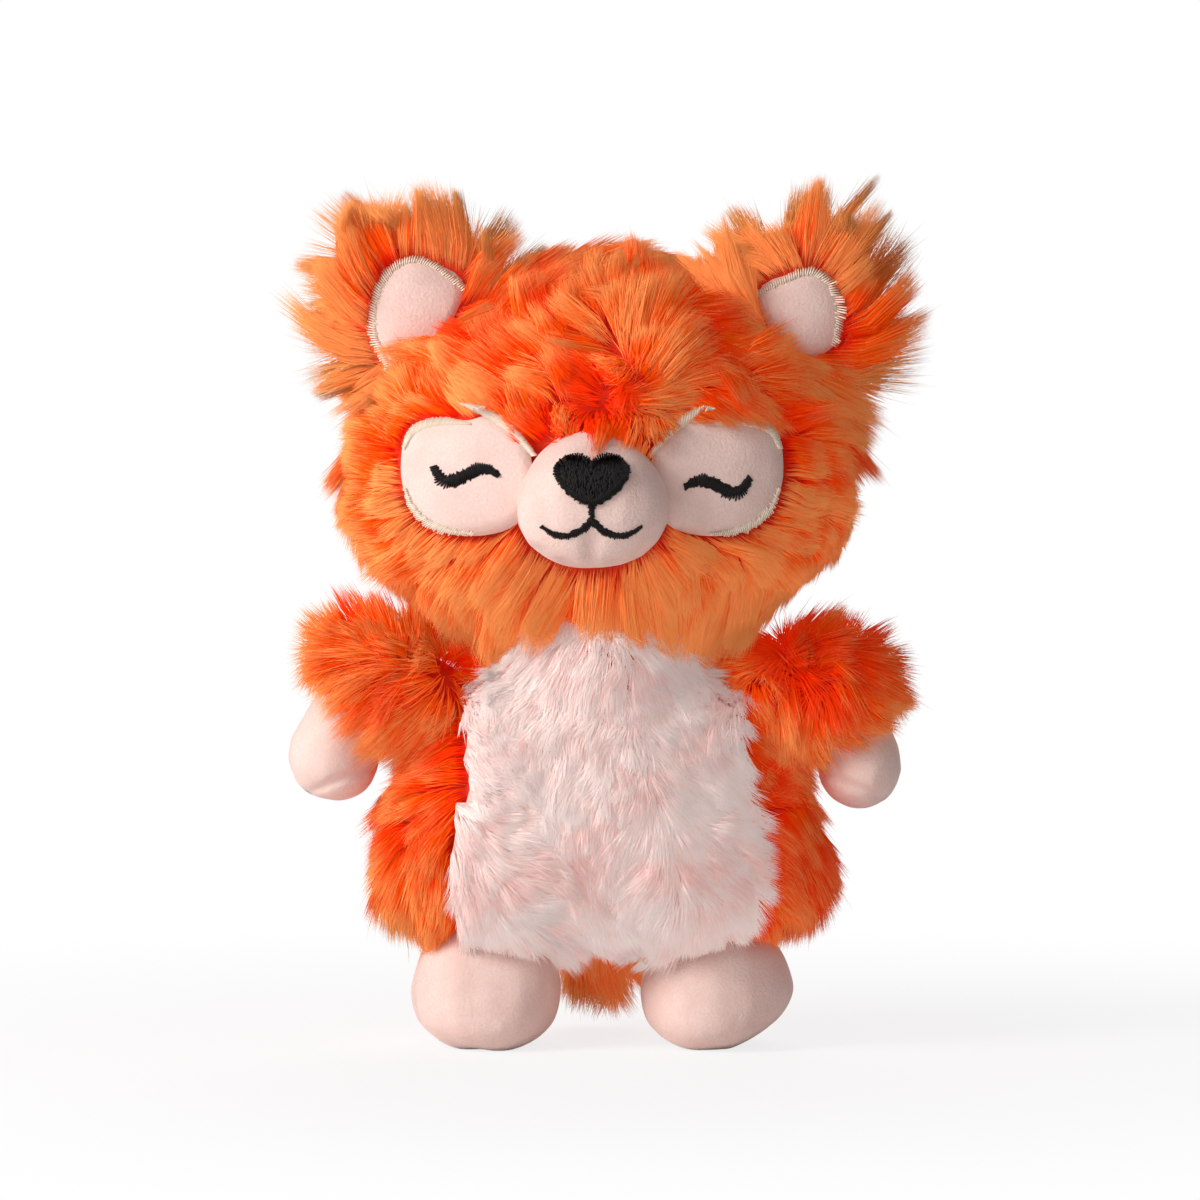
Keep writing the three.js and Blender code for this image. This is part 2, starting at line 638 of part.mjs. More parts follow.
for (const [name, side] of Object.entries(SIDES)) {
  const shoulder = new THREE.Vector3(side * shoulderSpread, BODY_SETBACK - ARM_FORWARD, shoulderHeight);
  const outAxis = BACK_AXIS.clone().multiplyScalar(-side);
  const bodyName = `arm_body_${name}`;
  body(bodyName, "body", shoulder, outAxis, [-ARM_DOWN, ARM_UP]);
  const lift = new THREE.Quaternion().setFromAxisAngle(
    BACK_AXIS,
    -side * THREE.MathUtils.degToRad(ARM_LIFT[name]),
  );
  const from = (out, up) => new THREE.Vector3(side * out, 0, up).applyQuaternion(lift).add(shoulder);
  const elbow = from(ELBOW_REACH, ELBOW_RISE);
  const curve = new THREE.QuadraticBezierCurve3(shoulder, elbow, from(ARM_REACH, -ARM_DROP));
  const armLength = curve.getLength();
  const cuff = SLEEVE_LENGTH;
  const torsoPath = swept(
    dressedTorso,
    shoulder,
    BACK_AXIS,
    side * (ARM_UP + ARM_PLAY),
    -side * (ARM_DOWN + ARM_PLAY),
    3,
  );

  const sleeveForm = lathe(
    swelling(
      [
        [0, -ARM_ROOT_RADIUS * 0.6],
        [ARM_ROOT_RADIUS * 0.8, 0],
        [SLEEVE_RADIUS, cuff * 0.5],
        [SLEEVE_RADIUS * 0.93, cuff * 0.88],
        [SLEEVE_BORE, cuff],
        [0, cuff],
      ],
      SWELL_STEPS,
    ),
    AROUND_LIMB,
  );
  const boreForm = lathe(
    stepped([
      [0, ARM_ROOT_RADIUS * 0.4],
      [SLEEVE_BORE * 0.8, ARM_ROOT_RADIUS * 0.5],
      [SLEEVE_BORE, ARM_ROOT_RADIUS],
      [SLEEVE_BORE, cuff + SLEEVE_RADIUS],
      [0, cuff + SLEEVE_RADIUS],
    ]),
    AROUND_LIMB,
  );
  // The hand: a wrist in the sleeve's mouth that swells to a round palm.
  const wrist = SLEEVE_BORE - SEAM_GAP;
  const handProfile = (inset, start) => [
    [0, start],
    [wrist - inset, start],
    [wrist - inset, cuff - WRIST_FLARE * 0.4],
    [HAND_RADIUS * 0.86 - inset, cuff + WRIST_FLARE * 0.6],
    [HAND_RADIUS - inset, (cuff + armLength) / 2],
    [HAND_RADIUS * 0.9 - inset, armLength - HAND_RADIUS * 0.45],
    [HAND_RADIUS * 0.55 - inset * 0.6, armLength - HAND_RADIUS * 0.12 - inset * 0.8],
    [0, armLength - inset],
  ];
  const tuck = cuff - WRIST_TUCK;
  const handForm = closed(bent(lathe(stepped(handProfile(0, tuck)), AROUND_LIMB), curve));
  const handInner = solid(bent(lathe(stepped(handProfile(PLUSH_COVER, tuck - PLUSH_COVER)), AROUND_LIMB), curve));
  part(bodyName, `hand_${name}`, solid(handForm).subtract(handInner).subtract(torsoPath), PINK_PLUSH, 0.95);
  const sleeve = solid(bent(sleeveForm, curve))
    .subtract(torsoPath)
    .add(ball(shoulder, ARM_ROOT_RADIUS))
    .subtract(solid(bent(boreForm, curve)))
    .subtract(solid(grown(handForm, SEAM_GAP)));
  part(bodyName, `sleeve_${name}`, sleeve, ORANGE_FUR, 1);
  limbRoots.push(ball(shoulder, ARM_ROOT_RADIUS + SEAM_GAP));
  const fill = handProfile(PLUSH_COVER + SEAM_GAP, tuck - SEAM_GAP).slice(1);
  const filling = lathe(
    stepped([
      [0, ARM_ROOT_RADIUS * 0.4 + SEAM_GAP],
      [SLEEVE_BORE * 0.8 - SEAM_GAP, ARM_ROOT_RADIUS * 0.5 + SEAM_GAP],
      [wrist, ARM_ROOT_RADIUS + SEAM_GAP],
      [wrist, tuck - SEAM_GAP],
      ...fill,
    ]),
    AROUND_LIMB,
  );
  part(bodyName, `arm_stuffing_${name}`, solid(bent(filling, curve)), WHITE_FILLING, 1);
}

// Feet

for (const [name, side] of Object.entries(SIDES)) {
  const spread = (side * (FEET_APART + FOOT_WIDTH)) / 2;
  const root = new THREE.Vector3(spread, BODY_SETBACK, BODY_BASE + FOOT_ROOT_RISE);
  const bodyName = `foot_body_${name}`;
  body(bodyName, "body", root, RIGHT_AXIS, [-FOOT_SWING, FOOT_SWING]);
  const footForm = pillow({
    lower: [FOOT_WIDTH * (1 + FOOT_SPLAY), FOOT_LENGTH * (1 + FOOT_SPLAY)],
    upper: [FOOT_WIDTH * (1 - FOOT_SPLAY), FOOT_LENGTH * (1 - FOOT_SPLAY)],
    height: FOOT_HEIGHT,
    fullness: FOOT_FULLNESS,
    corners: SOFT_CORNERS,
    around: AROUND_ROOT,
    along: ALONG_SMALL,
  }).translate(spread, BODY_SETBACK - TOE_REACH, -SOLE_CUT);
  const reach = FOOT_WIDTH + FOOT_LENGTH;
  const floor = solid(new THREE.BoxGeometry(reach, reach, reach).translate(spread, 0, -reach / 2));
  const torsoPath = swept(dressedTorso, root, RIGHT_AXIS, -FOOT_SWING, FOOT_SWING, 2);
  const cavity = solid(grown(footForm, -PLUSH_COVER));
  const overRoot = root.clone().setZ(root.z + 2 * FOOT_ROOT_RADIUS);
  const ankle = rod(FOOT_OPENING, root.clone().setZ(FOOT_HEIGHT / 2), overRoot);
  const foot = solid(footForm)
    .subtract(floor)
    .subtract(torsoPath)
    .add(ball(root, FOOT_ROOT_RADIUS))
    .subtract(cavity)
    .subtract(ankle);
  part(bodyName, `foot_${name}`, foot, PINK_PLUSH, 0.95);
  const seat = ball(root, FOOT_ROOT_RADIUS + SEAM_GAP);
  const filling = solid(grown(footForm, -PLUSH_COVER - SEAM_GAP)).subtract(torsoPath).subtract(seat);
  part(bodyName, `foot_stuffing_${name}`, filling, WHITE_FILLING, 1);
  limbRoots.push(seat);
}

// Tail

const tailRoot = new THREE.Vector3(
  0,
  BODY_SETBACK + halfAt(BELLY_DEPTH, SHOULDER_DEPTH, BODY_HEIGHT, BODY_FULLNESS, TAIL_RISE),
  BODY_BASE + TAIL_RISE,
);
body("tail_body", "body", tailRoot, BACK_AXIS, [-TAIL_WAG, TAIL_WAG]);
const tailForm = pillow({
  lower: [TAIL_WIDTH, TAIL_DEPTH],
  upper: [TAIL_WIDTH * TAIL_TAPER, TAIL_DEPTH * TAIL_TAPER],
  height: TAIL_LENGTH,
  fullness: SOFT_FULLNESS,
  corners: SOFT_CORNERS,
  around: AROUND_LIMB,
  along: ALONG_SMALL,
}).translate(tailRoot.x, tailRoot.y + TAIL_SETBACK, tailRoot.z + TAIL_ROOT_RADIUS - TAIL_LENGTH);
const tailPath = swept(torso, tailRoot, BACK_AXIS, -TAIL_WAG, TAIL_WAG, 2);
const tail = solid(tailForm).subtract(tailPath).add(ball(tailRoot, TAIL_ROOT_RADIUS));
part("tail_body", "tail", tail, ORANGE_FUR, 1);
limbRoots.push(ball(tailRoot, TAIL_ROOT_RADIUS + SEAM_GAP));

// Squeaker: a bellows that stands in its pocket, with the reed plug in its neck

const squeakerBase = BODY_BASE + SQUEAKER_RISE;
const squeakerTop = squeakerBase + SQUEAKER_HEIGHT;
function bellowsProfile() {
  const outer = [[0, 0]];
  const inner = [[REED_RADIUS + SEAM_GAP, SQUEAKER_HEIGHT - SQUEAKER_WALL]];
  const rib = SQUEAKER_HEIGHT / SQUEAKER_RIBS;
  for (let i = 0; i < SQUEAKER_RIBS; i++) {
    outer.push([SQUEAKER_RADIUS - RIB_DEPTH, i * rib], [SQUEAKER_RADIUS, (i + 0.5) * rib]);
  }
  outer.push([SQUEAKER_RADIUS - RIB_DEPTH, SQUEAKER_HEIGHT], [REED_RADIUS + SEAM_GAP, SQUEAKER_HEIGHT]);
  for (let i = SQUEAKER_RIBS - 1; i >= 0; i--) {
    inner.push([SQUEAKER_RADIUS - SQUEAKER_WALL, (i + 0.5) * rib]);
    if (i > 0) inner.push([SQUEAKER_RADIUS - RIB_DEPTH - SQUEAKER_WALL, i * rib]);
  }
  inner.push([SQUEAKER_RADIUS - RIB_DEPTH - SQUEAKER_WALL, SQUEAKER_WALL], [0, SQUEAKER_WALL]);
  return [...outer, ...inner];
}
const upright = (profile, base) =>
  solid(lathe(profile, AROUND_ROOT).rotateX(Math.PI / 2).translate(0, BODY_SETBACK, base));
part("body", "squeaker_bulb", upright(bellowsProfile(), squeakerBase), CLEAR_PLASTIC, 0.4);
const squeakerMiddle = new THREE.Vector3(0, BODY_SETBACK, squeakerTop);
body("squeaker", "body", squeakerMiddle, UP_AXIS.clone().negate(), [0, SQUEEZE]);
const reedProfile = [
  [0, SEAM_GAP - REED_LENGTH / 2],
  [REED_RADIUS, SEAM_GAP - REED_LENGTH / 2],
  [REED_RADIUS, SEAM_GAP],
  [REED_FLANGE, SEAM_GAP],
  [REED_FLANGE, SEAM_GAP + REED_FLANGE_HEIGHT],
  [REED_RADIUS, SEAM_GAP + REED_FLANGE_HEIGHT],
  [REED_RADIUS, REED_LENGTH / 2],
  [0, REED_LENGTH / 2],
];
part("squeaker", "squeaker_reed", upright(reedProfile, squeakerTop), REED_PLASTIC, 0.4);

// The body's cover, panel and filling

let roots = limbRoots[0];
for (const root of limbRoots.slice(1)) roots = roots.add(root);
const bodyHollow = solid(grown(bodyForm, -FUR_COVER));
const neckThroat = rod(
  NECK_OPENING,
  new THREE.Vector3(neck.x, neck.y, bodyTop - 2 * FUR_COVER),
  new THREE.Vector3(neck.x, neck.y, neck.z + 2 * NECK_RADIUS),
);
part("body", "body_cover", torso.subtract(bodyHollow).subtract(neckThroat).subtract(roots), ORANGE_FUR, 1);
part("body", "belly_panel", panel.subtract(roots).subtract(neckSeat), PALE_FUR, 1);
const pocket = upright(
  [
    [0, -SEAM_GAP],
    [SQUEAKER_RADIUS + SEAM_GAP, -SEAM_GAP],
    [SQUEAKER_RADIUS + SEAM_GAP, SQUEAKER_HEIGHT + SEAM_GAP],
    [REED_FLANGE + SEAM_GAP, SQUEAKER_HEIGHT + 2 * SEAM_GAP],
    [REED_FLANGE + SEAM_GAP, BODY_HEIGHT],
    [0, BODY_HEIGHT],
  ],
  squeakerBase,
);
part(
  "body",
  "body_stuffing",
  solid(grown(bodyForm, -FUR_COVER - SEAM_GAP)).subtract(pocket).subtract(roots),
  WHITE_FILLING,
  1,
);

export default group;
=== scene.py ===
# A shaggy stuffed dog toy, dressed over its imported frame: long orange fur, a pale belly, a short-plush face,
# hands and feet, satin stitching and a squeaker. Metres, +Z up, and the face looks along -Y.
import json
import math

import bmesh
import bpy
import numpy as np
from mathutils import Matrix, Vector
from mathutils.bvhtree import BVHTree
from mathutils.kdtree import KDTree


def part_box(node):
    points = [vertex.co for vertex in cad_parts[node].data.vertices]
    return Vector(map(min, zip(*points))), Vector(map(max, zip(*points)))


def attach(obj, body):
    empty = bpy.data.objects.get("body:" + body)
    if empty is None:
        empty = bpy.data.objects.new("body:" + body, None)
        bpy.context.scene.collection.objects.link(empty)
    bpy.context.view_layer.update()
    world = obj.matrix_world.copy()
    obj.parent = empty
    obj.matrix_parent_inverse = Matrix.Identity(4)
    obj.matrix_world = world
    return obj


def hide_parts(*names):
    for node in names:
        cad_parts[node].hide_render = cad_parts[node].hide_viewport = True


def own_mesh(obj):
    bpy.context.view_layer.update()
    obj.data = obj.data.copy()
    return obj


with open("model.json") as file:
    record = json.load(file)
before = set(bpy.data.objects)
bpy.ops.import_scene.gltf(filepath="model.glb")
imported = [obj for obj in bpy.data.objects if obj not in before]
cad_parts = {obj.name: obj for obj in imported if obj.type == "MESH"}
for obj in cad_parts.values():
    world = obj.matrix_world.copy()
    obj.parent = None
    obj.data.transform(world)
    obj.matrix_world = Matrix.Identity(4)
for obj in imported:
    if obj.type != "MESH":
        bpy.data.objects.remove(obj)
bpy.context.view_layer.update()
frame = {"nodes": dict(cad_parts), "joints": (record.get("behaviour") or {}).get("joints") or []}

MM = 0.001
SIDES = {"left": -1, "right": 1}

# Depths of the cloth skins under the outer surface of the pile
HEAD_PILE_DEPTH = 4 * MM
SLEEVE_PILE_DEPTH = 3 * MM
TAIL_PILE_DEPTH = 4 * MM
BODY_SKIN_SWELL = 4 * MM  # over the filling
BELLY_SKIN_SWELL = 2.5 * MM  # over the body's skin
# How much narrower a foot is at the floor, at its inner and its outer side
FOOT_TUCK = {"left": (0.3, 0.3), "right": (0.2, 0.62)}
FOOT_TUCK_HEIGHT = 13 * MM
SEAM_DEPTH = 0.9 * MM  # groove along the seam of a hand
SEAM_WIDTH = 1.0 * MM
LUMP = 0.2 * MM  # lumps of the filling under the short plush
LUMP_SPAN = 6 * MM
NECK_BALL_RADIUS = 19.8 * MM
NECK_ROLL_FOOT = 3 * MM  # the roll's underside, below the middle of the neck
NECK_OPENING_RADIUS = 17 * MM  # no strands grow in the opening under the head
NECK_OPENING_DEPTH = 5 * MM
NECK_OPENING_TOP = 95 * MM
FACE_DEPTH = 10 * MM  # the face lies in front of this
PARTING_DEPTH = 12 * MM  # so do the partings of the pile
MUZZLE_TAPER = 0.22  # how much narrower the muzzle is at its top
MUZZLE_SINK = 4 * MM  # how far the muzzle's top sinks into the fur
CREASE_DEPTH = 1.3 * MM  # crease down the chin
CREASE_WIDTH = 1.5 * MM
NOSE_RISE = 0.3 * MM
NOSE_CROWN = 0.5 * MM
NOSE_SEAT = 2 * MM
EAR_CORE = 0.66  # width and height of an ear's skin, as a share of its solid
EAR_CORE_DEPTH = 0.9
EAR_COMB_DROP = 6 * MM  # the ear's pile fans out from this far under its middle
PATCH_SEAT = 7 * MM  # a sewn-on piece reaches this far down to the skin
PATCH_RISE = -0.6 * MM  # under the outer surface of the pile
PATCH_CROWN = 0.5 * MM
PATCH_FLAT = 0.08  # how far a patch is flatter than the head under it
LINING_SEAT = 3 * MM
LINING_RISE = 0.5 * MM
LINING_CROWN = 0.5 * MM

# Cloth bags that their filling blows up, and how far any point of them may move
FILL_PRESSURE = 4
CLOTH_TENSION = 20
CLOTH_BENDING = 0.2
CLOTH_FRAMES = 20
MUZZLE_GIVE = 0.8 * MM
HAND_GIVE = 0.7 * MM
FOOT_GIVE = 0.6 * MM

# Fineness of the even meshes
SKIN_VOXEL = 2.5 * MM
LIMB_VOXEL = 1.6 * MM
FACE_VOXEL = 1.1 * MM

# Fur, in strands for each square millimetre and in lengths
HEAD_DENSITY = 7.0
BODY_DENSITY = 5.6
BELLY_DENSITY = 14.0
SLEEVE_DENSITY = 7.5
EAR_DENSITY = 13.0
TAIL_DENSITY = 9.0
HEAD_LENGTH = 12 * MM
BODY_LENGTH = 10.5 * MM
BELLY_LENGTH = 7.5 * MM
SLEEVE_LENGTH = 12.5 * MM
EAR_LENGTH = 16.5 * MM
TAIL_LENGTH = 13 * MM
STRAND_WIDTH = 0.24 * MM
LOCK = 14  # strands in a small lock
LOCK_PULL = 0.25
MOST_PULL = 0.88  # no strand is drawn nearer to the middle of its tuft than this
FLOOR_GAP = 1 * MM  # no tip hangs lower than this over the floor
LONG_SHARE = 0.012  # strands that stick out of the pile
LONG_GROWTH = 1.3
LEAST_RISE, MOST_RISE = 0.06, 0.97  # of a strand, as a share of its length
LEAST_TONE, MOST_TONE = 0.02, 0.97
TOUSLE_SPAN = 9 * MM  # over which the lie, the rise and the tone of the pile wander
RISE_SPAN = 7 * MM
TONE_SPAN = 8 * MM
FIBRE_SHARE = 0.3  # how far a strand's own roundness shows in the shading of the pile
TIP_LEAN = 0.35  # how far that shading turns along the lie of the pile towards the tips
TIP_SIDEWAYS = np.array([1, 0.4, 1])  # tips at an outline shade alike from the front and the back
TUFT_ROUND = 4 * MM  # half-widths over which the tufts and the locks round off
LOCK_ROUND = 2 * MM

# Satin stitching
THREAD_WIDTH = 0.42 * MM
FINE_THREAD = 0.34 * MM
STITCH_SPACING = 0.36 * MM
STITCH_LIFT = 0.45 * MM
STITCH_DIVE = 0.25 * MM  # the ends of a stitch go this far into the cloth
BED_SPREAD = 1.2  # the surface that carries an edge's stitches, as a share of the piece
NOSE_FILLING = 900  # places tried for the stitches inside the nose's border
NOSE_STITCH = 0.9 * MM  # half of the length of such a stitch
NOSE_LIFT = 0.3 * MM
LADDER_STITCHES = 60
LADDER_WIDTH = 0.7 * MM
LADDER_INSET = 0.8 * MM
LADDER_DOWN, LADDER_UP = 1.6 * MM, 1.2 * MM
LADDER_BULGE = 1.0 * MM

# Squeaker
RIBS = 3
RIB_DEPTH = 2.2 * MM
BELLOWS_MOUTH = 5 * MM
PROFILE_STEPS = 36
SPIN_STEPS = 48


# Small sums

def smoothstep(low, high, value):
    share = np.clip((value - low) / (high - low), 0, 1)
    return share * share * (3 - 2 * share)


def unit(vectors):
    return vectors / np.maximum(np.linalg.norm(vectors, axis=-1, keepdims=True), 1e-9)


def middle(node):
    low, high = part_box(node)
    return (low + high) / 2


def half(node):
    low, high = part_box(node)
    return (high - low) / 2


def joint_named(name):
    return next(joint for joint in frame["joints"] if joint["name"] == name)


def curve_through(points, steps, closed=False):
    """A smooth line through a few points."""
    points = np.asarray(points, float)
    if closed:
        ends = np.vstack([points[-1], points, points[:2]])
    else:
        ends = np.vstack([2 * points[0] - points[1], points, 2 * points[-1] - points[-2]])
    share = np.linspace(0, 1, steps, endpoint=False)[:, None]
    stretches = []
    for before, start, end, after in zip(ends, ends[1:], ends[2:], ends[3:]):
        slope = end - before
        round_in = 2 * before - 5 * start + 4 * end - after
        round_out = 3 * start - before - 3 * end + after
        stretches.append(start + (slope * share + round_in * share**2 + round_out * share**3) / 2)
    line = np.vstack(stretches)
    return line if closed else np.vstack([line, points[-1:]])


def placed(points, node, side=1):
    """Front-view points given in halves of a node's box, put where the node is."""
    centre, size = middle(node), half(node)
    points = np.asarray(points, float)
    return np.column_stack([centre.x + side * points[:, 0] * size.x, centre.z + points[:, 1] * size.z])


def inside(loop, points):
    """Which front-view points lie inside a closed line."""
    x, z = points[:, 0, None], points[:, 1, None]
    ahead = np.roll(loop, -1, axis=0)
    rise = ahead[:, 1] - loop[:, 1]
    rise = np.where(np.abs(rise) < 1e-12, 1e-12, rise)
    crossing = loop[:, 0] + (z - loop[:, 1]) * (ahead[:, 0] - loop[:, 0]) / rise
    return (((loop[:, 1] > z) != (ahead[:, 1] > z)) & (x < crossing)).sum(axis=1) % 2 == 1


def search_tree(points):
    tree = KDTree(len(points))
    for i, point in enumerate(points):
        tree.insert(point, i)
    tree.balance()
    return tree


def distance(line, points):
    """How far front-view points lie from a line of close points."""
    tree = search_tree([(x, 0, z) for x, z in line])
    return np.array([tree.find((x, 0, z))[2] for x, z in points])


# Meshes

def mesh_of(bm, name):
    mesh = bpy.data.meshes.new(name)
    bm.to_mesh(mesh)
    bm.free()
    mesh.shade_smooth()
    return mesh


def add_piece(name, form, material, body, nodes=()):
    mesh = form if isinstance(form, bpy.types.Mesh) else mesh_of(form, name)
    piece = bpy.data.objects.new(name, mesh)
    bpy.context.scene.collection.objects.link(piece)
    mesh.materials.append(material)
    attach(piece, body)
    if nodes:
        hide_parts(*nodes)
    return piece


def wrapped(*nodes):
    """The tight wrap round some of the frame's solids."""
    bm = bmesh.new()
    for node in nodes:
        for vertex in frame["nodes"][node].data.vertices:
            bm.verts.new(vertex.co)
    bmesh.ops.remove_doubles(bm, verts=bm.verts, dist=0.01 * MM)
    bmesh.ops.convex_hull(bm, input=bm.verts)
    bmesh.ops.delete(bm, geom=[v for v in bm.verts if not v.link_faces], context="VERTS")
    bmesh.ops.recalc_face_normals(bm, faces=bm.faces)
    return bm


def modified(bm, build):
    """A form after the modifiers that build adds to it."""
    holder = bpy.data.objects.new("holder", mesh_of(bm, "holder"))
    bpy.context.scene.collection.objects.link(holder)
    build(holder)
    bpy.context.view_layer.update()
    shown = holder.evaluated_get(bpy.context.evaluated_depsgraph_get())
    result = bmesh.new()
    result.from_mesh(shown.data)
    mesh = holder.data
    bpy.data.objects.remove(holder)
    bpy.data.meshes.remove(mesh)
    return result


def evened(bm, voxel, rounds):
    """The same closed form with even faces, and its facets smoothed away."""
    def build(holder):
        remesh = holder.modifiers.new("remesh", "REMESH")
        remesh.mode = "VOXEL"
        remesh.voxel_size = voxel
        smooth = holder.modifiers.new("smooth", "SMOOTH")
        smooth.iterations = rounds
    return modified(bm, build)


def pushed(bm, by):
    bm.normal_update()
    moves = [vertex.normal * by for vertex in bm.verts]
    for vertex, move in zip(bm.verts, moves):
        vertex.co += move
    return bm


def refined(bm):
    def build(holder):
        divide = holder.modifiers.new("divide", "SUBSURF")
        divide.levels = divide.render_levels = 1
    return modified(bm, build)


def stuffed(bm, cap):
    """A cloth bag blown up by its filling, with no point moved further than the cap."""
    rest = np.array([vertex.co for vertex in bm.verts])

    def build(holder):
        cloth = holder.modifiers.new("cloth", "CLOTH")
        cloth.settings.use_pressure = True
        cloth.settings.uniform_pressure_force = FILL_PRESSURE
        cloth.settings.effector_weights.gravity = 0
        cloth.settings.tension_stiffness = CLOTH_TENSION
        cloth.settings.bending_stiffness = CLOTH_BENDING
        for number in range(1, CLOTH_FRAMES + 1):
            bpy.context.scene.frame_set(number)
    blown = modified(bm, build)
    bpy.context.scene.frame_set(1)
    for vertex, before in zip(blown.verts, rest):
        move = vertex.co - Vector(before)
        if move.length > cap:
            vertex.co = Vector(before) + move * (cap / move.length)
    return blown


def lumpy(bm, amount, span, seed):
    """Small lumps and hollows, as loose filling leaves them under the cloth."""
    bm.normal_update()
    places = np.array([vertex.co for vertex in bm.verts])
    swing = wander(places, span, np.random.default_rng(seed))
    for vertex, move in zip(bm.verts, swing * amount):
        vertex.co += vertex.normal * float(move)
    return bm


def thickened(bm, depth):
    """Gives an open sheet a back, the given depth behind its front, and sides between them."""
    made = bmesh.ops.extrude_face_region(bm, geom=bm.faces[:], use_keep_orig=True)
    back = [item for item in made["geom"] if isinstance(item, bmesh.types.BMVert)]
    bmesh.ops.translate(bm, verts=back, vec=(0, depth, 0))
    bmesh.ops.recalc_face_normals(bm, faces=bm.faces)
    return bm


# Strands and threads: many copies of one thin form, each laid along its own curve

def spindle(waist):
    """A thin closed form from a point at 0 to a point at 1 along Z, with a unit radius at its waist."""
    bm = bmesh.new()
    bmesh.ops.create_cone(bm, cap_ends=True, segments=3, radius1=1, radius2=0, depth=1 - waist)
    bmesh.ops.remove_doubles(bm, verts=bm.verts, dist=1e-6)
    bmesh.ops.translate(bm, verts=bm.verts, vec=(0, 0, waist - min(vertex.co.z for vertex in bm.verts)))
    base = [face for face in bm.faces if abs(face.normal.z) > 0.9]
    for vertex in bmesh.ops.poke(bm, faces=base)["verts"]:
        vertex.co.z = 0
    return as_form(bm)


def rod(sides, cuts):
    """A thin closed rod of unit radius from 0 to 1 along Z."""
    bm = bmesh.new()
    bmesh.ops.create_cone(bm, cap_ends=True, cap_tris=False, segments=sides, radius1=1, radius2=1, depth=1)
    bmesh.ops.translate(bm, verts=bm.verts, vec=(0, 0, 0.5))
    for cut in range(1, cuts + 1):
        everything = bm.verts[:] + bm.edges[:] + bm.faces[:]
        bmesh.ops.bisect_plane(bm, geom=everything, plane_co=(0, 0, cut / (cuts + 1)), plane_no=(0, 0, 1))
    return as_form(bm)


def as_form(bm):
    """The points and faces of a form."""
    bmesh.ops.recalc_face_normals(bm, faces=bm.faces)
    bm.verts.index_update()
    points = np.array([vertex.co for vertex in bm.verts])
    faces = [[vertex.index for vertex in face.verts] for face in bm.faces]
    bm.free()
    return points, faces


HAIR = spindle(0.4)
THREAD = rod(5, 3)
UV_STEP = 0.012  # width of a strand on its map


def strung(name, form, start, bend, end, radius, tone, soft=None):
    """Copies of a form along curves.

    soft gives the normals that the pile as a whole has at the roots and at the tips.
    """
    points, faces = form
    along = points[:, 2]
    count = len(start)
    curve = (
        ((1 - along) ** 2)[None, :, None] * start[:, None]
        + (2 * along * (1 - along))[None, :, None] * bend[:, None]
        + (along**2)[None, :, None] * end[:, None]
    )
    chord = unit(end - start)
    across = unit(np.cross(chord, bend - start + 1e-6))
    over = np.cross(chord, across)
    sideways = points[None, :, 0, None] * across[:, None] + points[None, :, 1, None] * over[:, None]
    curve += radius[:, None, None] * sideways
    corners = np.concatenate(faces)
    starts = np.cumsum([0] + [len(face) for face in faces[:-1]])
    mesh = bpy.data.meshes.new(name)
    mesh.vertices.add(count * len(points))
    mesh.vertices.foreach_set("co", curve.astype(np.float32).ravel())
    mesh.loops.add(count * len(corners))
    shift = np.arange(count)[:, None]
    mesh.loops.foreach_set("vertex_index", (corners + shift * len(points)).astype(np.int32).ravel())
    mesh.polygons.add(count * len(faces))
    mesh.polygons.foreach_set("loop_start", (starts + shift * len(corners)).astype(np.int32).ravel())
    mesh.update(calc_edges=True)
    angle = np.arctan2(points[:, 1], points[:, 0]) / (2 * math.pi) % 1
    angle[np.hypot(points[:, 0], points[:, 1]) < 1e-6] = 0.5
    flat = [len(set(np.round(along[face], 6))) == 1 for face in faces]
    tilt = np.concatenate([angle[face] ** 2 * UV_STEP * level for face, level in zip(faces, flat)])
    v = np.clip(along[corners] + np.where(along[corners] > 0.5, -tilt, tilt), 0, 1)
    uv = np.empty((count, len(corners), 2), np.float32)
    uv[:, :, 0] = tone[:, None] + angle[corners] * UV_STEP
    uv[:, :, 1] = v
    for layer in ("strand", "OFBake"):
        mesh.uv_layers.new(name=layer).data.foreach_set("uv", uv.ravel())
    mesh.shade_smooth()
    if soft:
        share = along[None, :, None]
        normals = unit(soft[0][:, None] * (1 - share) + soft[1][:, None] * share + FIBRE_SHARE * sideways)
        kept = mesh.attributes.new("custom_normal", "FLOAT_VECTOR", "POINT")
        kept.data.foreach_set("vector", normals.astype(np.float32).ravel())
    return mesh


# Fur

def scattered(bm, density, draws):
    """Places spread evenly over a skin, with the skin's normals there."""
    bm.normal_update()
    bm.verts.index_update()
    corners = np.array([[loop.vert.index for loop in loops] for loops in bm.calc_loop_triangles()])
    places = np.array([vertex.co for vertex in bm.verts])
    normals = np.array([vertex.normal for vertex in bm.verts])
    first, second, third = places[corners].transpose(1, 0, 2)
    areas = np.linalg.norm(np.cross(second - first, third - first), axis=1) / 2
    count = int(areas.sum() / MM**2 * density)
    chosen = corners[draws.choice(len(areas), count, p=areas / areas.sum())]
    reach = np.sqrt(draws.random(count))
    turn = draws.random(count)
    weights = np.column_stack([1 - reach, reach * (1 - turn), reach * turn])
    return (
        np.einsum("ij,ijk->ik", weights, places[chosen]),
        unit(np.einsum("ij,ijk->ik", weights, normals[chosen])),
    )


def nearest(places, heads):
    """For each place, the number of the head that it is nearest to."""
    tree = search_tree(places[heads])
    return np.array([tree.find(place)[1] for place in places])


def wander(places, span, draws):
    """A smooth field that swings about 0 over the given span."""
    ways = draws.normal(0, 1, (5, 3)) / span
    shifts = draws.uniform(0, 2 * math.pi, 5)
    return np.sin(places @ ways.T * 1.6 + shifts).sum(axis=1) / 1.6


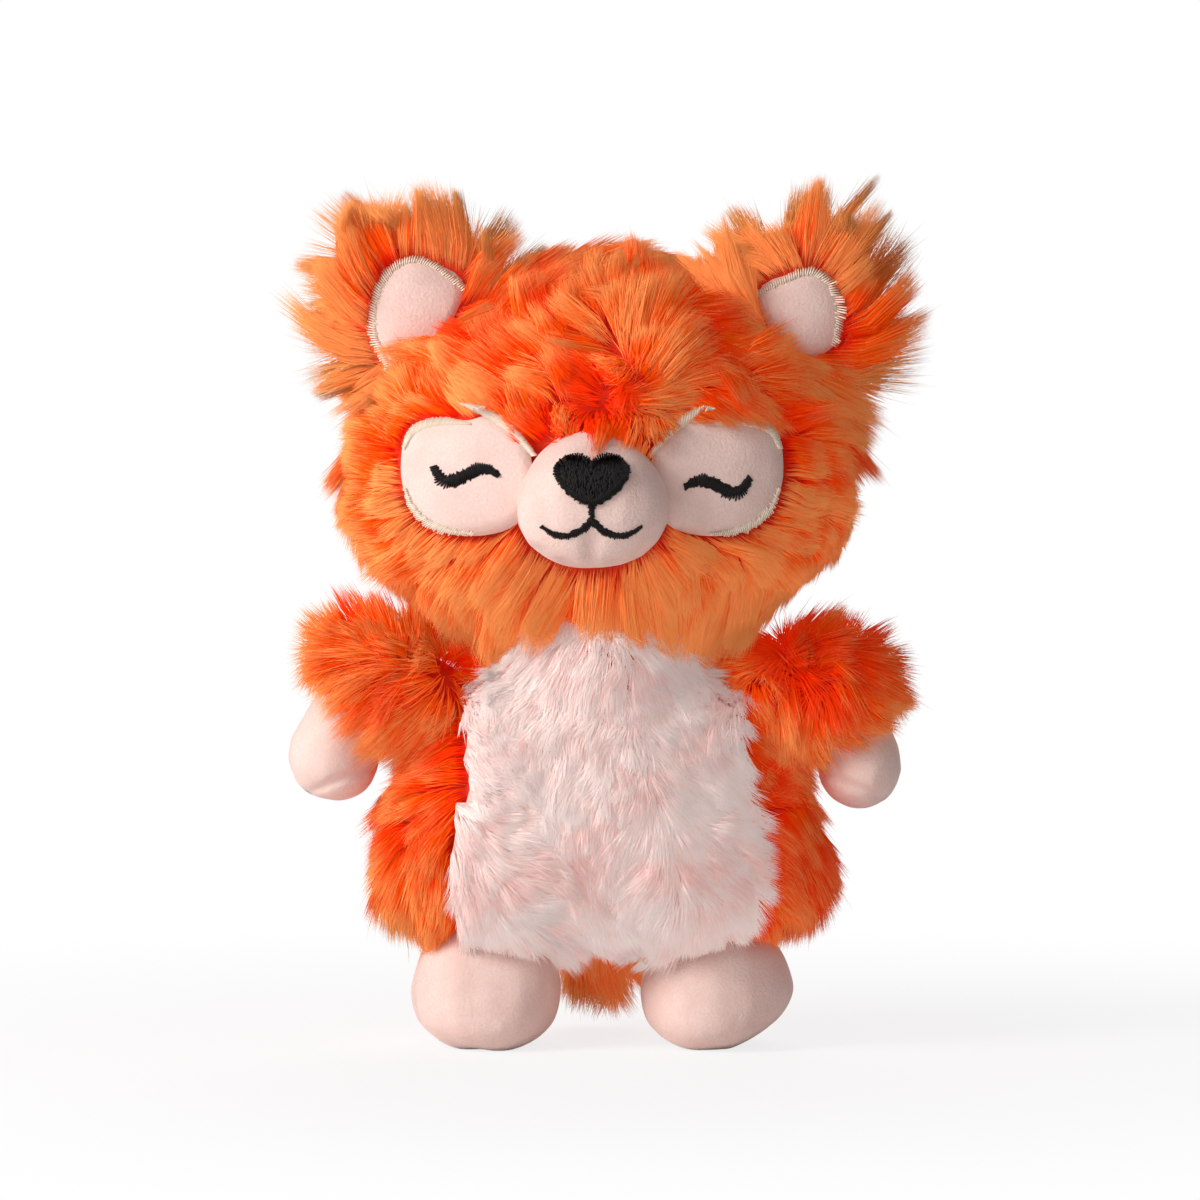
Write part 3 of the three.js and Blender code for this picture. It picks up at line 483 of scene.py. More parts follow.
def parted(roots, comb, spots):
    """Turns the pile away from front-view spots, given as X, Z and reach in mm.

    The second result is 1 at the spots and falls to 0 round them; the callers deepen the pile's tone with it,
    as painted shade in the partings.
    """
    bare = np.zeros(len(roots))
    for x, z, reach in spots:
        away = np.column_stack([roots[:, 0] - x * MM, 0 * roots[:, 0], roots[:, 2] - z * MM])
        near = np.exp(-((away**2).sum(axis=1) / (reach * MM) ** 2)) * (roots[:, 1] < PARTING_DEPTH)
        comb = comb * (1 - near)[:, None] + unit(away) * near[:, None]
        bare = np.maximum(bare, near)
    return comb, bare


def add_fur(name, body, material, roots, ups, comb, length, lie, parts=1):
    """Strands that lean along their comb direction, gathered into tufts and locks.

    lie holds the fur's habits: tuft is the number of strands in a tuft, gather how far they close to its
    middle, rise how far they stand up, tousle and stray how far tufts and strands turn aside, droop how far
    the tips sink, and uneven how far the tufts' lengths differ. patchy and tone set the colour, thick the
    strands' width, and own and face the way in which the pile as a whole faces the light.
    """
    draws = np.random.default_rng(list(name.encode()))
    count = len(roots)
    heads = draws.choice(count, max(count // lie["tuft"], 1), replace=False)
    tuft = nearest(roots, heads)
    each = len(heads)
    lock_heads = draws.choice(count, max(count // LOCK, 1), replace=False)
    lock = nearest(roots, lock_heads)
    along = unit(comb - ups * (comb * ups).sum(axis=1, keepdims=True))
    aside = np.cross(ups, along)
    turn = lie["tousle"] * (wander(roots, TOUSLE_SPAN, draws) + 0.5 * draws.normal(0, 1, each)[tuft])
    turn += draws.normal(0, lie["stray"], count)
    lean = along * np.cos(turn)[:, None] + aside * np.sin(turn)[:, None]
    uneven = lie.get("uneven", 0.12)
    size = length * draws.uniform(1 - 1.3 * uneven, 1 + uneven, each)[tuft] * draws.uniform(0.7, 1.08, count)
    size *= np.where(draws.random(count) < LONG_SHARE, LONG_GROWTH, 1)
    rise = lie["rise"] * (1 + 0.16 * wander(roots, RISE_SPAN, draws) + draws.uniform(-0.2, 0.2, each)[tuft])
    rise = np.clip(rise + draws.normal(0, 0.05, count), LEAST_RISE, MOST_RISE)
    bend = roots + ups * (size * rise * 0.7)[:, None] + lean * (size * (1 - rise) * 0.35)[:, None]
    end = roots + ups * (size * rise)[:, None] + lean * (size * np.sqrt(1 - rise**2))[:, None]
    end[:, 2] -= lie["droop"] * size
    for middles, group_of, share in ((heads, tuft, lie["gather"]), (lock_heads, lock, LOCK_PULL)):
        pull = share * draws.uniform(0.4, 1.3, len(middles))[group_of] * draws.uniform(0.6, 1.1, count)
        pull = np.minimum(pull, MOST_PULL)[:, None]
        centre = middles[group_of]
        bend = bend + (bend[centre] - bend) * pull * 0.25
        end = end + (end[centre] - end) * pull
    end[:, 2] = np.maximum(end[:, 2], FLOOR_GAP)
    round_off = (roots - roots[heads[tuft]]) / TUFT_ROUND + (roots - roots[lock_heads[lock]]) / LOCK_ROUND
    soft = unit(ups * lie.get("own", 1) + lie.get("face", 0) + 0.5 * round_off)
    tone = 0.5 + draws.normal(0, 0.1, each)[tuft] + draws.normal(0, 0.08, len(lock_heads))[lock]
    tone += lie.get("patchy", 0.13) * wander(roots, TONE_SPAN, draws)
    tone = np.clip(tone + draws.normal(0, 0.13, count) + lie.get("tone", 0), LEAST_TONE, MOST_TONE)
    tone[0], tone[-1] = LEAST_TONE, MOST_TONE
    radius = STRAND_WIDTH / 2 * draws.uniform(0.7, 1.25, count) * lie.get("thick", 1)
    order = np.argsort(np.arctan2(roots[:, 0], roots[:, 1]))
    for number, picked in enumerate(np.array_split(order, parts), 1):
        label = name if parts == 1 else f"{name}_{number}"
        mesh = strung(label, HAIR, start=roots[picked], bend=bend[picked], end=end[picked],
                      radius=radius[picked], tone=tone[picked],
                      soft=(soft[picked], unit((soft + TIP_LEAN * lean) * TIP_SIDEWAYS)[picked]))
        add_piece(label, mesh, material, body)


# Sewn-on cloth and satin stitches

def front_depth(tree, x, z):
    hit = tree.ray_cast(Vector((x, -1, z)), Vector((0, 1, 0)))[0]
    return (hit or tree.find_nearest(Vector((x, -0.05, z)))[0]).y


def pad(loop, tree, rise, crown, seat, flat=0.0, rings=5):
    """A piece of cloth sewn on a surface: crowned inside its outline, with sides that go down to its seat."""
    bm = bmesh.new()
    face = bm.faces.new([bm.verts.new((x, 0, z)) for x, z in loop])
    reach = min(np.ptp(loop[:, 0]), np.ptp(loop[:, 1])) / 2
    centre = Vector((*loop.mean(axis=0), 0)).xzy
    for ring in range(rings, 1, -1):
        face = bmesh.ops.extrude_discrete_faces(bm, faces=[face])["faces"][0]
        share = (ring - 1) / ring
        bmesh.ops.scale(bm, vec=(share,) * 3, verts=face.verts, space=Matrix.Translation(-centre))
    bmesh.ops.poke(bm, faces=[face])
    places = np.array([(vertex.co.x, vertex.co.z) for vertex in bm.verts])
    swell = np.sqrt(np.clip(distance(loop, places) / (reach * 0.8), 0, 1))
    for vertex in bm.verts:
        vertex.co.y = front_depth(tree, vertex.co.x, vertex.co.z)
    level = front_depth(tree, centre.x, centre.z)
    for vertex, share in zip(bm.verts, swell):
        vertex.co.y += (level - vertex.co.y) * flat - rise - crown * share
    return thickened(bm, seat)


def stitch_bed(loop, *habits):
    """The surface of a sewn-on piece, carried on past its edge for the stitches that hold it."""
    centre = loop.mean(axis=0)
    wide = pad(centre + (loop - centre) * BED_SPREAD, *habits)
    tree = BVHTree.FromBMesh(wide)
    wide.free()
    return tree


def satin(line, widths, tree, draws, slant=0.25, spacing=STITCH_SPACING, lift=STITCH_LIFT, ragged=0.12):
    """Stitches side by side across a front-view line, as the starts, bends and ends of their threads."""
    steps = np.linalg.norm(np.diff(line, axis=0), axis=1)
    travel = np.concatenate([[0], np.cumsum(steps)])
    count = max(int(travel[-1] / spacing), 2)
    at = np.linspace(0, travel[-1], count)
    spots = np.column_stack([np.interp(at, travel, line[:, i]) for i in range(2)])
    ahead = unit(np.gradient(spots, axis=0))
    turn = math.pi / 2 - slant
    across = np.column_stack([
        ahead[:, 0] * math.cos(turn) - ahead[:, 1] * math.sin(turn),
        ahead[:, 0] * math.sin(turn) + ahead[:, 1] * math.cos(turn),
    ])
    reach = np.interp(at / travel[-1], np.linspace(0, 1, len(widths)), widths)[:, None] / 2
    first = spots - across * reach * draws.uniform(1 - ragged, 1 + ragged, (count, 1))
    last = spots + across * reach * draws.uniform(1 - ragged, 1 + ragged, (count, 1))
    return laid(first, spots, last, tree, lift)


def laid(first, spots, last, tree, lift):
    """Threads from first to last over spots on a surface, with their ends in the cloth."""
    rows = []
    for points, lower in ((first, -STITCH_DIVE), (spots, lift), (last, -STITCH_DIVE)):
        rows.append(np.array([(x, front_depth(tree, x, z) - lower, z) for x, z in points]))
    start, top, end = rows
    return start, 2 * top - (start + end) / 2, end


def add_stitches(name, runs, material, body, nodes=(), width=THREAD_WIDTH):
    draws = np.random.default_rng(list(name.encode()))
    start, bend, end = (np.vstack([run[i] for run in runs]) for i in range(3))
    count = len(start)
    tone = draws.uniform(0.03, 0.95, count)
    radius = width / 2 * draws.uniform(0.85, 1.15, count)
    return add_piece(name, strung(name, THREAD, start, bend, end, radius, tone), material, body, nodes)


# Node groups and materials

def group(name, inputs, outputs):
    tree = bpy.data.node_groups.new(name, "ShaderNodeTree")
    for label, kind, value in inputs:
        tree.interface.new_socket(label, in_out="INPUT", socket_type=kind).default_value = value
    for label, kind in outputs:
        tree.interface.new_socket(label, in_out="OUTPUT", socket_type=kind)
    return tree, tree.nodes.new("NodeGroupInput"), tree.nodes.new("NodeGroupOutput")


def mapped(tree, value, source, target):
    node = tree.nodes.new("ShaderNodeMapRange")
    node.interpolation_type = "SMOOTHSTEP"
    tree.links.new(value, node.inputs["Value"])
    for label, number in zip(("From Min", "From Max", "To Min", "To Max"), (*source, *target)):
        node.inputs[label].default_value = number
    return node.outputs["Result"]


def mixed(tree, share, first, second):
    node = tree.nodes.new("ShaderNodeMix")
    node.data_type = "RGBA"
    for socket, value in ((node.inputs[0], share), (node.inputs[6], first), (node.inputs[7], second)):
        if isinstance(value, bpy.types.NodeSocket):
            tree.links.new(value, socket)
        else:
            socket.default_value = value
    return node.outputs[2]


def noise(tree, scale, detail):
    place = tree.nodes.new("ShaderNodeTexCoord")
    node = tree.nodes.new("ShaderNodeTexNoise")
    node.inputs["Scale"].default_value = scale
    node.inputs["Detail"].default_value = detail
    tree.links.new(place.outputs["Object"], node.inputs["Vector"])
    return node.outputs["Fac"]


COLOUR = "NodeSocketColor"
NUMBER = "NodeSocketFloat"
WHITE = (1, 1, 1, 1)


def strand_group():
    """Colour from the root to the tip of each strand, with each strand's own tone. The deeper Root colour is
    painted shade: in the depths of a pile, and where a thread's ends go into the cloth.
    """
    tree, given, out = group(
        "strand_colour",
        [("Root", COLOUR, WHITE), ("Middle", COLOUR, WHITE), ("Tip", COLOUR, WHITE)],
        [("Color", COLOUR)],
    )
    place = tree.nodes.new("ShaderNodeUVMap")
    place.uv_map = "strand"
    apart = tree.nodes.new("ShaderNodeSeparateXYZ")
    tree.links.new(place.outputs["UV"], apart.inputs["Vector"])
    tone, along = apart.outputs["X"], apart.outputs["Y"]
    root, half_way, tip = (given.outputs[label] for label in ("Root", "Middle", "Tip"))
    low = mixed(tree, mapped(tree, along, (0.05, 0.5), (0, 1)), root, half_way)
    full = mixed(tree, mapped(tree, along, (0.55, 1), (0, 1)), low, tip)
    # Low tones take on the Root colour, so the painted shade that partings and the sides put into the tone
    # shows here
    deep = mixed(tree, mapped(tree, tone, (0.1, 0.5), (0.7, 0)), full, root)
    bright = mixed(tree, mapped(tree, tone, (0.5, 0.95), (0, 0.8)), deep, tip)
    tree.links.new(bright, out.inputs["Color"])
    return tree


def nap_group():
    """Short brushed pile: fine fibres, and wider patches where the nap lies another way."""
    tree, given, out = group(
        "short_nap",
        [("Color", COLOUR, WHITE), ("Shade", COLOUR, WHITE)],
        [("Color", COLOUR), ("Height", NUMBER)],
    )
    fine = noise(tree, scale=1900, detail=2)
    wide = noise(tree, scale=160, detail=3)
    colour, shade = given.outputs["Color"], given.outputs["Shade"]
    brushed = mixed(tree, mapped(tree, wide, (0.35, 0.7), (0, 0.45)), colour, shade)
    fibres = mixed(tree, mapped(tree, fine, (0.3, 0.7), (0.45, 0)), brushed, shade)
    tree.links.new(fibres, out.inputs["Color"])
    tree.links.new(fine, out.inputs["Height"])
    return tree


def plastic_group():
    """Moulded plastic: a cloudy colour and a roughness that varies with it."""
    tree, given, out = group(
        "moulded_plastic",
        [("Color", COLOUR, WHITE), ("Cloud", COLOUR, WHITE)],
        [("Color", COLOUR), ("Roughness", NUMBER)],
    )
    cloud = noise(tree, scale=300, detail=4)
    tree.links.new(mixed(tree, cloud, given.outputs["Color"], given.outputs["Cloud"]), out.inputs["Color"])
    tree.links.new(mapped(tree, cloud, (0.3, 0.7), (0.35, 0.5)), out.inputs["Roughness"])
    return tree


GROUPS = {"strand": strand_group(), "nap": nap_group(), "plastic": plastic_group()}
SHEEN_ROUGHNESS = 0.4
NAP_HEIGHT = 0.2 * MM
# The fur's emission is a painted glow in its own colour, for the light that wanders inside the pile
FUR_LOOK = {"roughness": 0.7, "specular": 0.03, "painted_glow": 0.19}
BACKING_LOOK = {"roughness": 0.9, "bump": 0.6}


def material(
    name, kind, colours, roughness=0.5, sheen=0.0, sheen_tint=WHITE, bump=0.0, specular=0.5, painted_glow=0.0,
):
    """A shader with one of the groups. Its emission, in the base colour, is a painted glow that stands in for
    the light that wanders inside a pile.
    """
    made = bpy.data.materials.new(name)
    made.use_nodes = True
    tree = made.node_tree
    shader = tree.nodes["Principled BSDF"]
    shader.inputs["Roughness"].default_value = roughness
    shader.inputs["Specular IOR Level"].default_value = specular
    shader.inputs["Sheen Weight"].default_value = sheen
    shader.inputs["Sheen Roughness"].default_value = SHEEN_ROUGHNESS
    shader.inputs["Sheen Tint"].default_value = sheen_tint
    used = tree.nodes.new("ShaderNodeGroup")
    used.node_tree = GROUPS[kind]
    for label, colour in colours.items():
        used.inputs[label].default_value = (*colour, 1)
    tree.links.new(used.outputs["Color"], shader.inputs["Base Color"])
    # Painted glow: emission in the base colour
    if painted_glow:
        tree.links.new(used.outputs["Color"], shader.inputs["Emission Color"])
        shader.inputs["Emission Strength"].default_value = painted_glow
        shader.inputs["Diffuse Roughness"].default_value = 1
    if "Roughness" in used.outputs:
        tree.links.new(used.outputs["Roughness"], shader.inputs["Roughness"])
    if bump:
        relief = tree.nodes.new("ShaderNodeBump")
        relief.inputs["Strength"].default_value = bump
        relief.inputs["Distance"].default_value = NAP_HEIGHT
        tree.links.new(used.outputs["Height"], relief.inputs["Height"])
        tree.links.new(relief.outputs["Normal"], shader.inputs["Normal"])
    return made


# The deep Root colours of the piles are painted shade in the depths between the strands
ORANGE_FUR = material(
    "orange_fur", "strand",
    {"Root": (1.0, 0.015, 0.001), "Middle": (1.0, 0.115, 0.003), "Tip": (1.0, 0.39, 0.12)}, **FUR_LOOK,
)
PALE_FUR = material(
    "pale_fur", "strand",
    {"Root": (0.95, 0.6, 0.56), "Middle": (1.0, 0.8, 0.76), "Tip": (1.0, 0.9, 0.87)}, **FUR_LOOK,
)
# The backings are deeper than the middle colour of their pile: their own colour with painted shade for the
# gaps between the strands
ORANGE_BACKING = material(
    "orange_backing", "nap", {"Color": (0.8, 0.03, 0.001), "Shade": (0.65, 0.02, 0.001)}, **BACKING_LOOK,
)
PALE_BACKING = material(
    "pale_backing", "nap", {"Color": (0.85, 0.6, 0.56), "Shade": (0.75, 0.46, 0.43)}, **BACKING_LOOK,
)
PINK_PLUSH = material(
    "pink_plush", "nap", {"Color": (0.9, 0.68, 0.625), "Shade": (0.8, 0.53, 0.47)},
    roughness=0.85, sheen=0.35, sheen_tint=(1, 0.93, 0.9, 1), bump=0.8, specular=0.2,
)
NOSE_FELT = material(
    "nose_felt", "nap", {"Color": (0.008, 0.008, 0.009), "Shade": (0.004, 0.004, 0.005)},
    roughness=0.6, bump=0.6, specular=0.2,
)
# Root and Tip darker than the middle: painted shade where the thread's ends go into the cloth
CREAM_THREAD = material(
    "cream_thread", "strand",
    {"Root": (0.86, 0.71, 0.56), "Middle": (0.96, 0.85, 0.73), "Tip": (0.92, 0.78, 0.64)}, roughness=0.5,
)
BLACK_THREAD = material(
    "black_thread", "strand",
    {"Root": (0.003, 0.002, 0.002), "Middle": (0.007, 0.005, 0.005), "Tip": (0.012, 0.009, 0.009)},
    roughness=0.55, specular=0.15,
)
# Root and Tip darker than the middle: painted shade where the thread's ends go into the cloth
ORANGE_THREAD = material(
    "orange_thread", "strand",
    {"Root": (0.5, 0.05, 0.005), "Middle": (0.8, 0.14, 0.02), "Tip": (0.6, 0.08, 0.01)}, roughness=0.6,
)
SQUEAKER_PLASTIC = material(
    "squeaker_plastic", "plastic", {"Color": (0.78, 0.82, 0.84), "Cloud": (0.68, 0.74, 0.78)}, specular=0.4,
)
REED_PLASTIC = material(
    "reed_plastic", "plastic", {"Color": (0.08, 0.25, 0.6), "Cloud": (0.06, 0.2, 0.5)}, specular=0.5,
)


# Partings of the pile, as X, Z and reach in mm in the front view. The pile's tone is deeper there: painted
# shade.

HEAD_PARTINGS = [
    (0, 131, 4.5), (6, 132.5, 3), (-23.5, 143, 3.5), (-18, 137.5, 2.5), (28, 142, 3), (16.5, 142, 2.5),
]
SLEEVE_PARTINGS = {
    "left": [(-30, 76, 3.5), (-33, 84, 3), (-32, 59, 3.5)],
    "right": [(28, 83.5, 4), (37, 77.5, 4), (42, 73, 3), (44, 62.5, 3)],
}
BODY_PARTINGS = [(31, 53, 3.5), (-37, 45, 3)]

# Fringe over the muzzle, and how the pile and the limbs differ from place to place

FRINGE_FOOT = 9 * MM  # lowest roots of the fringe, over the middle of the muzzle
FRINGE_MIDDLE = 2 * MM
FRINGE_REACH = 10 * MM
CUFF_TRIM = {"left": 0.65, "right": 0.0}  # share of the pile's length that is missing at the cuff
CUFF_LIFT = {"left": 4 * MM, "right": 0}
HAND_TUCK = {"left": 2 * MM, "right": 4 * MM}  # how far the outer side of a hand is drawn in
SLEEVE_GROWTH = {"left": 0.05, "right": -0.15}  # of the pile, as a share of its length
# Painted light and shade in the sleeves' tone: paler on the left one for its light, deeper on the right one
# for its shade
SLEEVE_PAINTED_LIGHT_SHADE = {"left": 0.05, "right": -0.12}
EAR_GROWTH = {"left": (0.1, 0.2), "right": (0.05, -0.35)}  # of the pile on top: outer and inner half
HEM_GROWTH = 0.4  # of the belly's pile at its lower edge
BODY_PAINTED_SHADE = 0.18  # painted shade: how much deeper the tone of the right side of the body is, where less light falls
JAW_TRIM = {"left": 0.22, "right": 0.42}  # share of the pile's length that is missing at the jaw
TEMPLE_GROWTH = 0.4  # of the pile under the right ear
EYE_DROP = {"left": 0, "right": 2.2 * MM}  # the face was sewn on a little askew

# Outlines and sewn lines in halves of the boxes of the frame's own pieces, with the widths of their stitches

PATCH_LOOP = [
    (-0.97, 0.45), (-0.76, 0.74), (-0.38, 0.8), (0.02, 0.78), (0.36, 0.84), (0.76, 0.6), (0.98, 0.3),
    (1.0, -0.4), (0.68, -0.84), (-0.02, -0.96), (-0.67, -0.76), (-0.98, -0.2),
]
BROW_OUTER = [(-0.96, 0.36), (-0.84, 0.6), (-0.62, 0.72), (-0.3, 0.76), (0.06, 0.73)]
BROW_INNER = [(0.28, 0.92), (0.6, 0.72), (0.84, 0.5), (1.04, 0.26)]
BROW_TIP = {"left": (-0.07, 1.04), "right": (0.06, 0.96)}
BROW_OUTER_WIDTHS = np.array([1.0, 2.0, 2.2, 1.8, 0.6]) * MM
BROW_INNER_WIDTHS = np.array([0.5, 2.2, 2.3, 1.7, 1.2]) * MM
PATCH_LOWER = [(-0.94, -0.25), (-0.82, -0.54), (-0.6, -0.76), (-0.3, -0.88), (0.1, -0.93)]
PATCH_LOWER_WIDTHS = np.array([0.8, 1.6, 2.0, 1.7, 0.9]) * MM
EYE_WAVE = [(-0.98, 0.6), (-0.68, -0.7), (-0.28, -0.55), (0.31, 0.3), (0.65, 0.35), (0.98, -0.2)]
EYE_WIDTHS = np.array([1.6, 3.2, 3.0, 2.9, 1.4]) * MM
NOSE_HEART = [
    (0, -1.0), (0.32, -0.85), (0.66, -0.45), (0.92, 0.08), (0.97, 0.52), (0.64, 0.93), (0.27, 0.88),
    (0, 0.56),
    (-0.27, 0.88), (-0.64, 0.93), (-0.97, 0.52), (-0.92, 0.08), (-0.66, -0.45), (-0.32, -0.85),
]
NOSE_BORDER, NOSE_INNER = 0.87, 0.85  # middle of its border and edge of its filling, as shares of the heart
NOSE_BORDER_WIDTHS = np.array([2.0, 2.0]) * MM
MOUTH_STEM = [(0, 1.1), (0, 0.2)]
MOUTH_SMILE = [(0, 0.15), (0.22, -0.42), (0.5, -0.74), (0.76, -0.6), (0.98, -0.2)]
MOUTH_WIDTHS = np.array([1.8, 1.7, 1.5, 0.8]) * MM
LINING_BORDERS = {
    "left": [(-0.54, -0.95), (-0.84, -0.3), (-0.74, 0.45), (-0.38, 0.92), (0.16, 0.96), (0.84, 0.48)],
    "right": [(0.9, -0.55), (0.98, -0.2), (0.98, 0.2), (0.78, 0.62), (0.36, 0.78), (-0.5, 0.4)],
}
LINING_INNER = (0.1, -0.85)
LINING_WIDTHS = np.array([1.6, 2.2, 2.0, 1.6, 1.4]) * MM
HAND_SEAM = [(-0.6, -0.88), (1.1, -0.3)]

muzzle_centre = middle("muzzle_cover")
muzzle_half = half("muzzle_cover")
patch_loops = {
    name: curve_through(placed(PATCH_LOOP, f"eye_patch_edge_{name}", -side), steps=5, closed=True)
    for name, side in SIDES.items()
}
lining_loops = {
    name: curve_through(placed([*border, LINING_INNER], f"ear_edge_{name}"), steps=5, closed=True)
    for name, border in LINING_BORDERS.items()
}


# Head

def beyond_muzzle(roots):
    """Distance from the middle of the muzzle in the front view, 1 at its edge."""
    return np.hypot(
        (roots[:, 0] - muzzle_centre.x) / muzzle_half.x, (roots[:, 2] - muzzle_centre.z) / muzzle_half.z
    )


def make_head():
    form = evened(wrapped("head_cover"), SKIN_VOXEL, rounds=6)
    front = BVHTree.FromBMesh(form)
    skin = pushed(form.copy(), -HEAD_PILE_DEPTH)
    draws = np.random.default_rng(1)
    roots, ups = scattered(skin, HEAD_DENSITY, draws)
    facing = roots[:, 1] < FACE_DEPTH
    flat = roots[:, [0, 2]]
    gap = np.full(len(roots), 1.0)
    over = np.abs(roots[:, 0] - FRINGE_MIDDLE) < FRINGE_REACH
    over &= roots[:, 2] > muzzle_centre.z + FRINGE_FOOT
    bare = facing & (beyond_muzzle(roots) < 0.98) & ~over
    for loop in patch_loops.values():
        bare |= facing & inside(loop, flat)
        gap = np.where(facing, np.minimum(gap, distance(loop, flat)), gap)
    opening = np.hypot(roots[:, 0], roots[:, 1] - NECK_OPENING_DEPTH) < NECK_OPENING_RADIUS
    bare |= opening & (roots[:, 2] <= NECK_OPENING_TOP)
    roots, ups, facing, gap = roots[~bare], ups[~bare], facing[~bare], gap[~bare]

    # Zones of the pile, in mm from the middle of the muzzle: each is 1 inside and fades to 0
    x, y, z = (roots - np.array(muzzle_centre)).T / MM
    out = unit(np.column_stack([x, 0.45 * y, z]))
    down = np.array([0, 0, -1.0])
    low = smoothstep(-6, -16, z)[:, None] * 0.8
    comb = out * (1 - low) + down * low
    back = smoothstep(30, 50, y)[:, None]
    comb = comb * (1 - back) + down * back
    forehead = smoothstep(16, 26, z) * (y < 45)
    comb += np.column_stack([0.3 * forehead, 0 * x, 0.1 * forehead])
    sweep = (smoothstep(8, 18, x) * smoothstep(13, 18, z) * smoothstep(40, 30, z) * facing)[:, None]
    comb = comb * (1 - 0.85 * sweep) + np.array([1.0, -0.15, -0.35]) * 0.85 * sweep
    comb, bare = parted(roots, comb, HEAD_PARTINGS)
    fringe = smoothstep(11, 7, np.abs(x - 4)) * smoothstep(7, 9, z) * smoothstep(18, 15, z) * facing
    comb = comb * (1 - fringe)[:, None] + np.array([0.25, -0.3, -1.0]) * fringe[:, None]
    chin = smoothstep(-13, -20, z)
    comb += np.column_stack([0 * x, -0.25 * chin * facing, 0 * z])
    crown = smoothstep(0.55, 0.9, ups[:, 2])
    near_patch = smoothstep(8 * MM, 1 * MM, gap) * (1 - sweep[:, 0])
    length = HEAD_LENGTH * (1 + 0.2 * forehead - 0.15 * low[:, 0] + 0.25 * chin)
    length *= (1 - 0.28 * near_patch) * (1 - 0.4 * bare) * (1 + 0.1 * fringe)
    jaw = smoothstep(12, 2, z) * smoothstep(-24, -14, z) * smoothstep(30, 44, np.abs(x))
    temple = smoothstep(13, 19, z) * smoothstep(36, 28, z) * smoothstep(34, 44, x)
    length *= 1 - np.where(x > 0, JAW_TRIM["right"], JAW_TRIM["left"]) * jaw + TEMPLE_GROWTH * temple
    rise = 0.5 + 0.08 * forehead - 0.34 * crown + 0.25 * fringe
    rise = rise + 0.25 * near_patch - 0.15 * jaw + 0.2 * temple
    lie = {
        "tuft": 140, "gather": 0.5 + 0.15 * forehead, "tousle": 0.3 + 0.45 * forehead, "stray": 0.16,
        "uneven": 0.2, "rise": rise, "droop": 0.12 + 0.25 * chin + 0.2 * fringe,
        # A deeper tone at the partings is painted shade
        "tone": 0.3 * smoothstep(10, -4, z) * facing - 0.08 * forehead - 0.6 * bare,
    }
    add_piece("head_skin", skin, ORANGE_BACKING, "head",
              ("head_cover", "head_stuffing"))
    add_fur("head_fur", "head", ORANGE_FUR, roots, ups, comb, length, lie, parts=4)
    form.free()
    return front


def make_muzzle():
    bm = wrapped("muzzle_cover")
    for vertex in bm.verts:
        if vertex.co.y > muzzle_centre.y:
            vertex.co.y += PATCH_SEAT
    bm = stuffed(evened(bm, FACE_VOXEL, rounds=8), MUZZLE_GIVE)
    for vertex in bm.verts:
        x, z = vertex.co.x - muzzle_centre.x, vertex.co.z - muzzle_centre.z
        vertex.co.x -= x * MUZZLE_TAPER * float(smoothstep(-2 * MM, 15 * MM, z))
        crease = math.exp(-((x / CREASE_WIDTH) ** 2)) * float(smoothstep(-5 * MM, -9 * MM, z))
        vertex.co.y += CREASE_DEPTH * crease + MUZZLE_SINK * float(smoothstep(5 * MM, 14 * MM, z))
    bm = lumpy(refined(bm), LUMP, LUMP_SPAN, seed=11)
    tree = BVHTree.FromBMesh(bm)
    add_piece("muzzle_plush", bm, PINK_PLUSH, "head",
              ("muzzle_cover", "muzzle_stuffing"))
    return tree


def make_nose_and_mouth(tree):
    draws = np.random.default_rng(2)
    heart = curve_through(placed(NOSE_HEART, "nose"), steps=5, closed=True)
    centre = np.array([middle("nose").x, middle("nose").z])
    base = pad(heart, tree, NOSE_RISE, NOSE_CROWN, NOSE_SEAT)
    surface = BVHTree.FromBMesh(base)
    add_piece("nose_pad", base, NOSE_FELT, "head", ("nose",))
    rim = np.vstack([heart, heart[:1]])
    border = centre + (rim - centre) * NOSE_BORDER
    runs = [satin(border, NOSE_BORDER_WIDTHS, surface, draws, slant=0.1, ragged=0.2)]
    spots = centre + draws.uniform(-1, 1, (NOSE_FILLING, 2)) * np.ptp(heart, axis=0) / 2
    for spot in spots[inside(centre + (heart - centre) * NOSE_INNER, spots)]:
        turn = draws.normal(0, 0.35)
        step = np.array([math.sin(turn), math.cos(turn)]) * NOSE_STITCH
        runs.append(laid([spot - step], [spot], [spot + step], surface, NOSE_LIFT))
    add_stitches("nose_stitches", runs, BLACK_THREAD, "head")
    lines = [curve_through(placed(MOUTH_STEM, "mouth"), steps=8)]
    for side in SIDES.values():
        lines.append(curve_through(placed(MOUTH_SMILE, "mouth", side), steps=8))
    runs = [satin(line, MOUTH_WIDTHS, tree, draws, slant=0.4, ragged=0.25) for line in lines]
    add_stitches("mouth_stitches", runs, BLACK_THREAD, "head", ("mouth",))


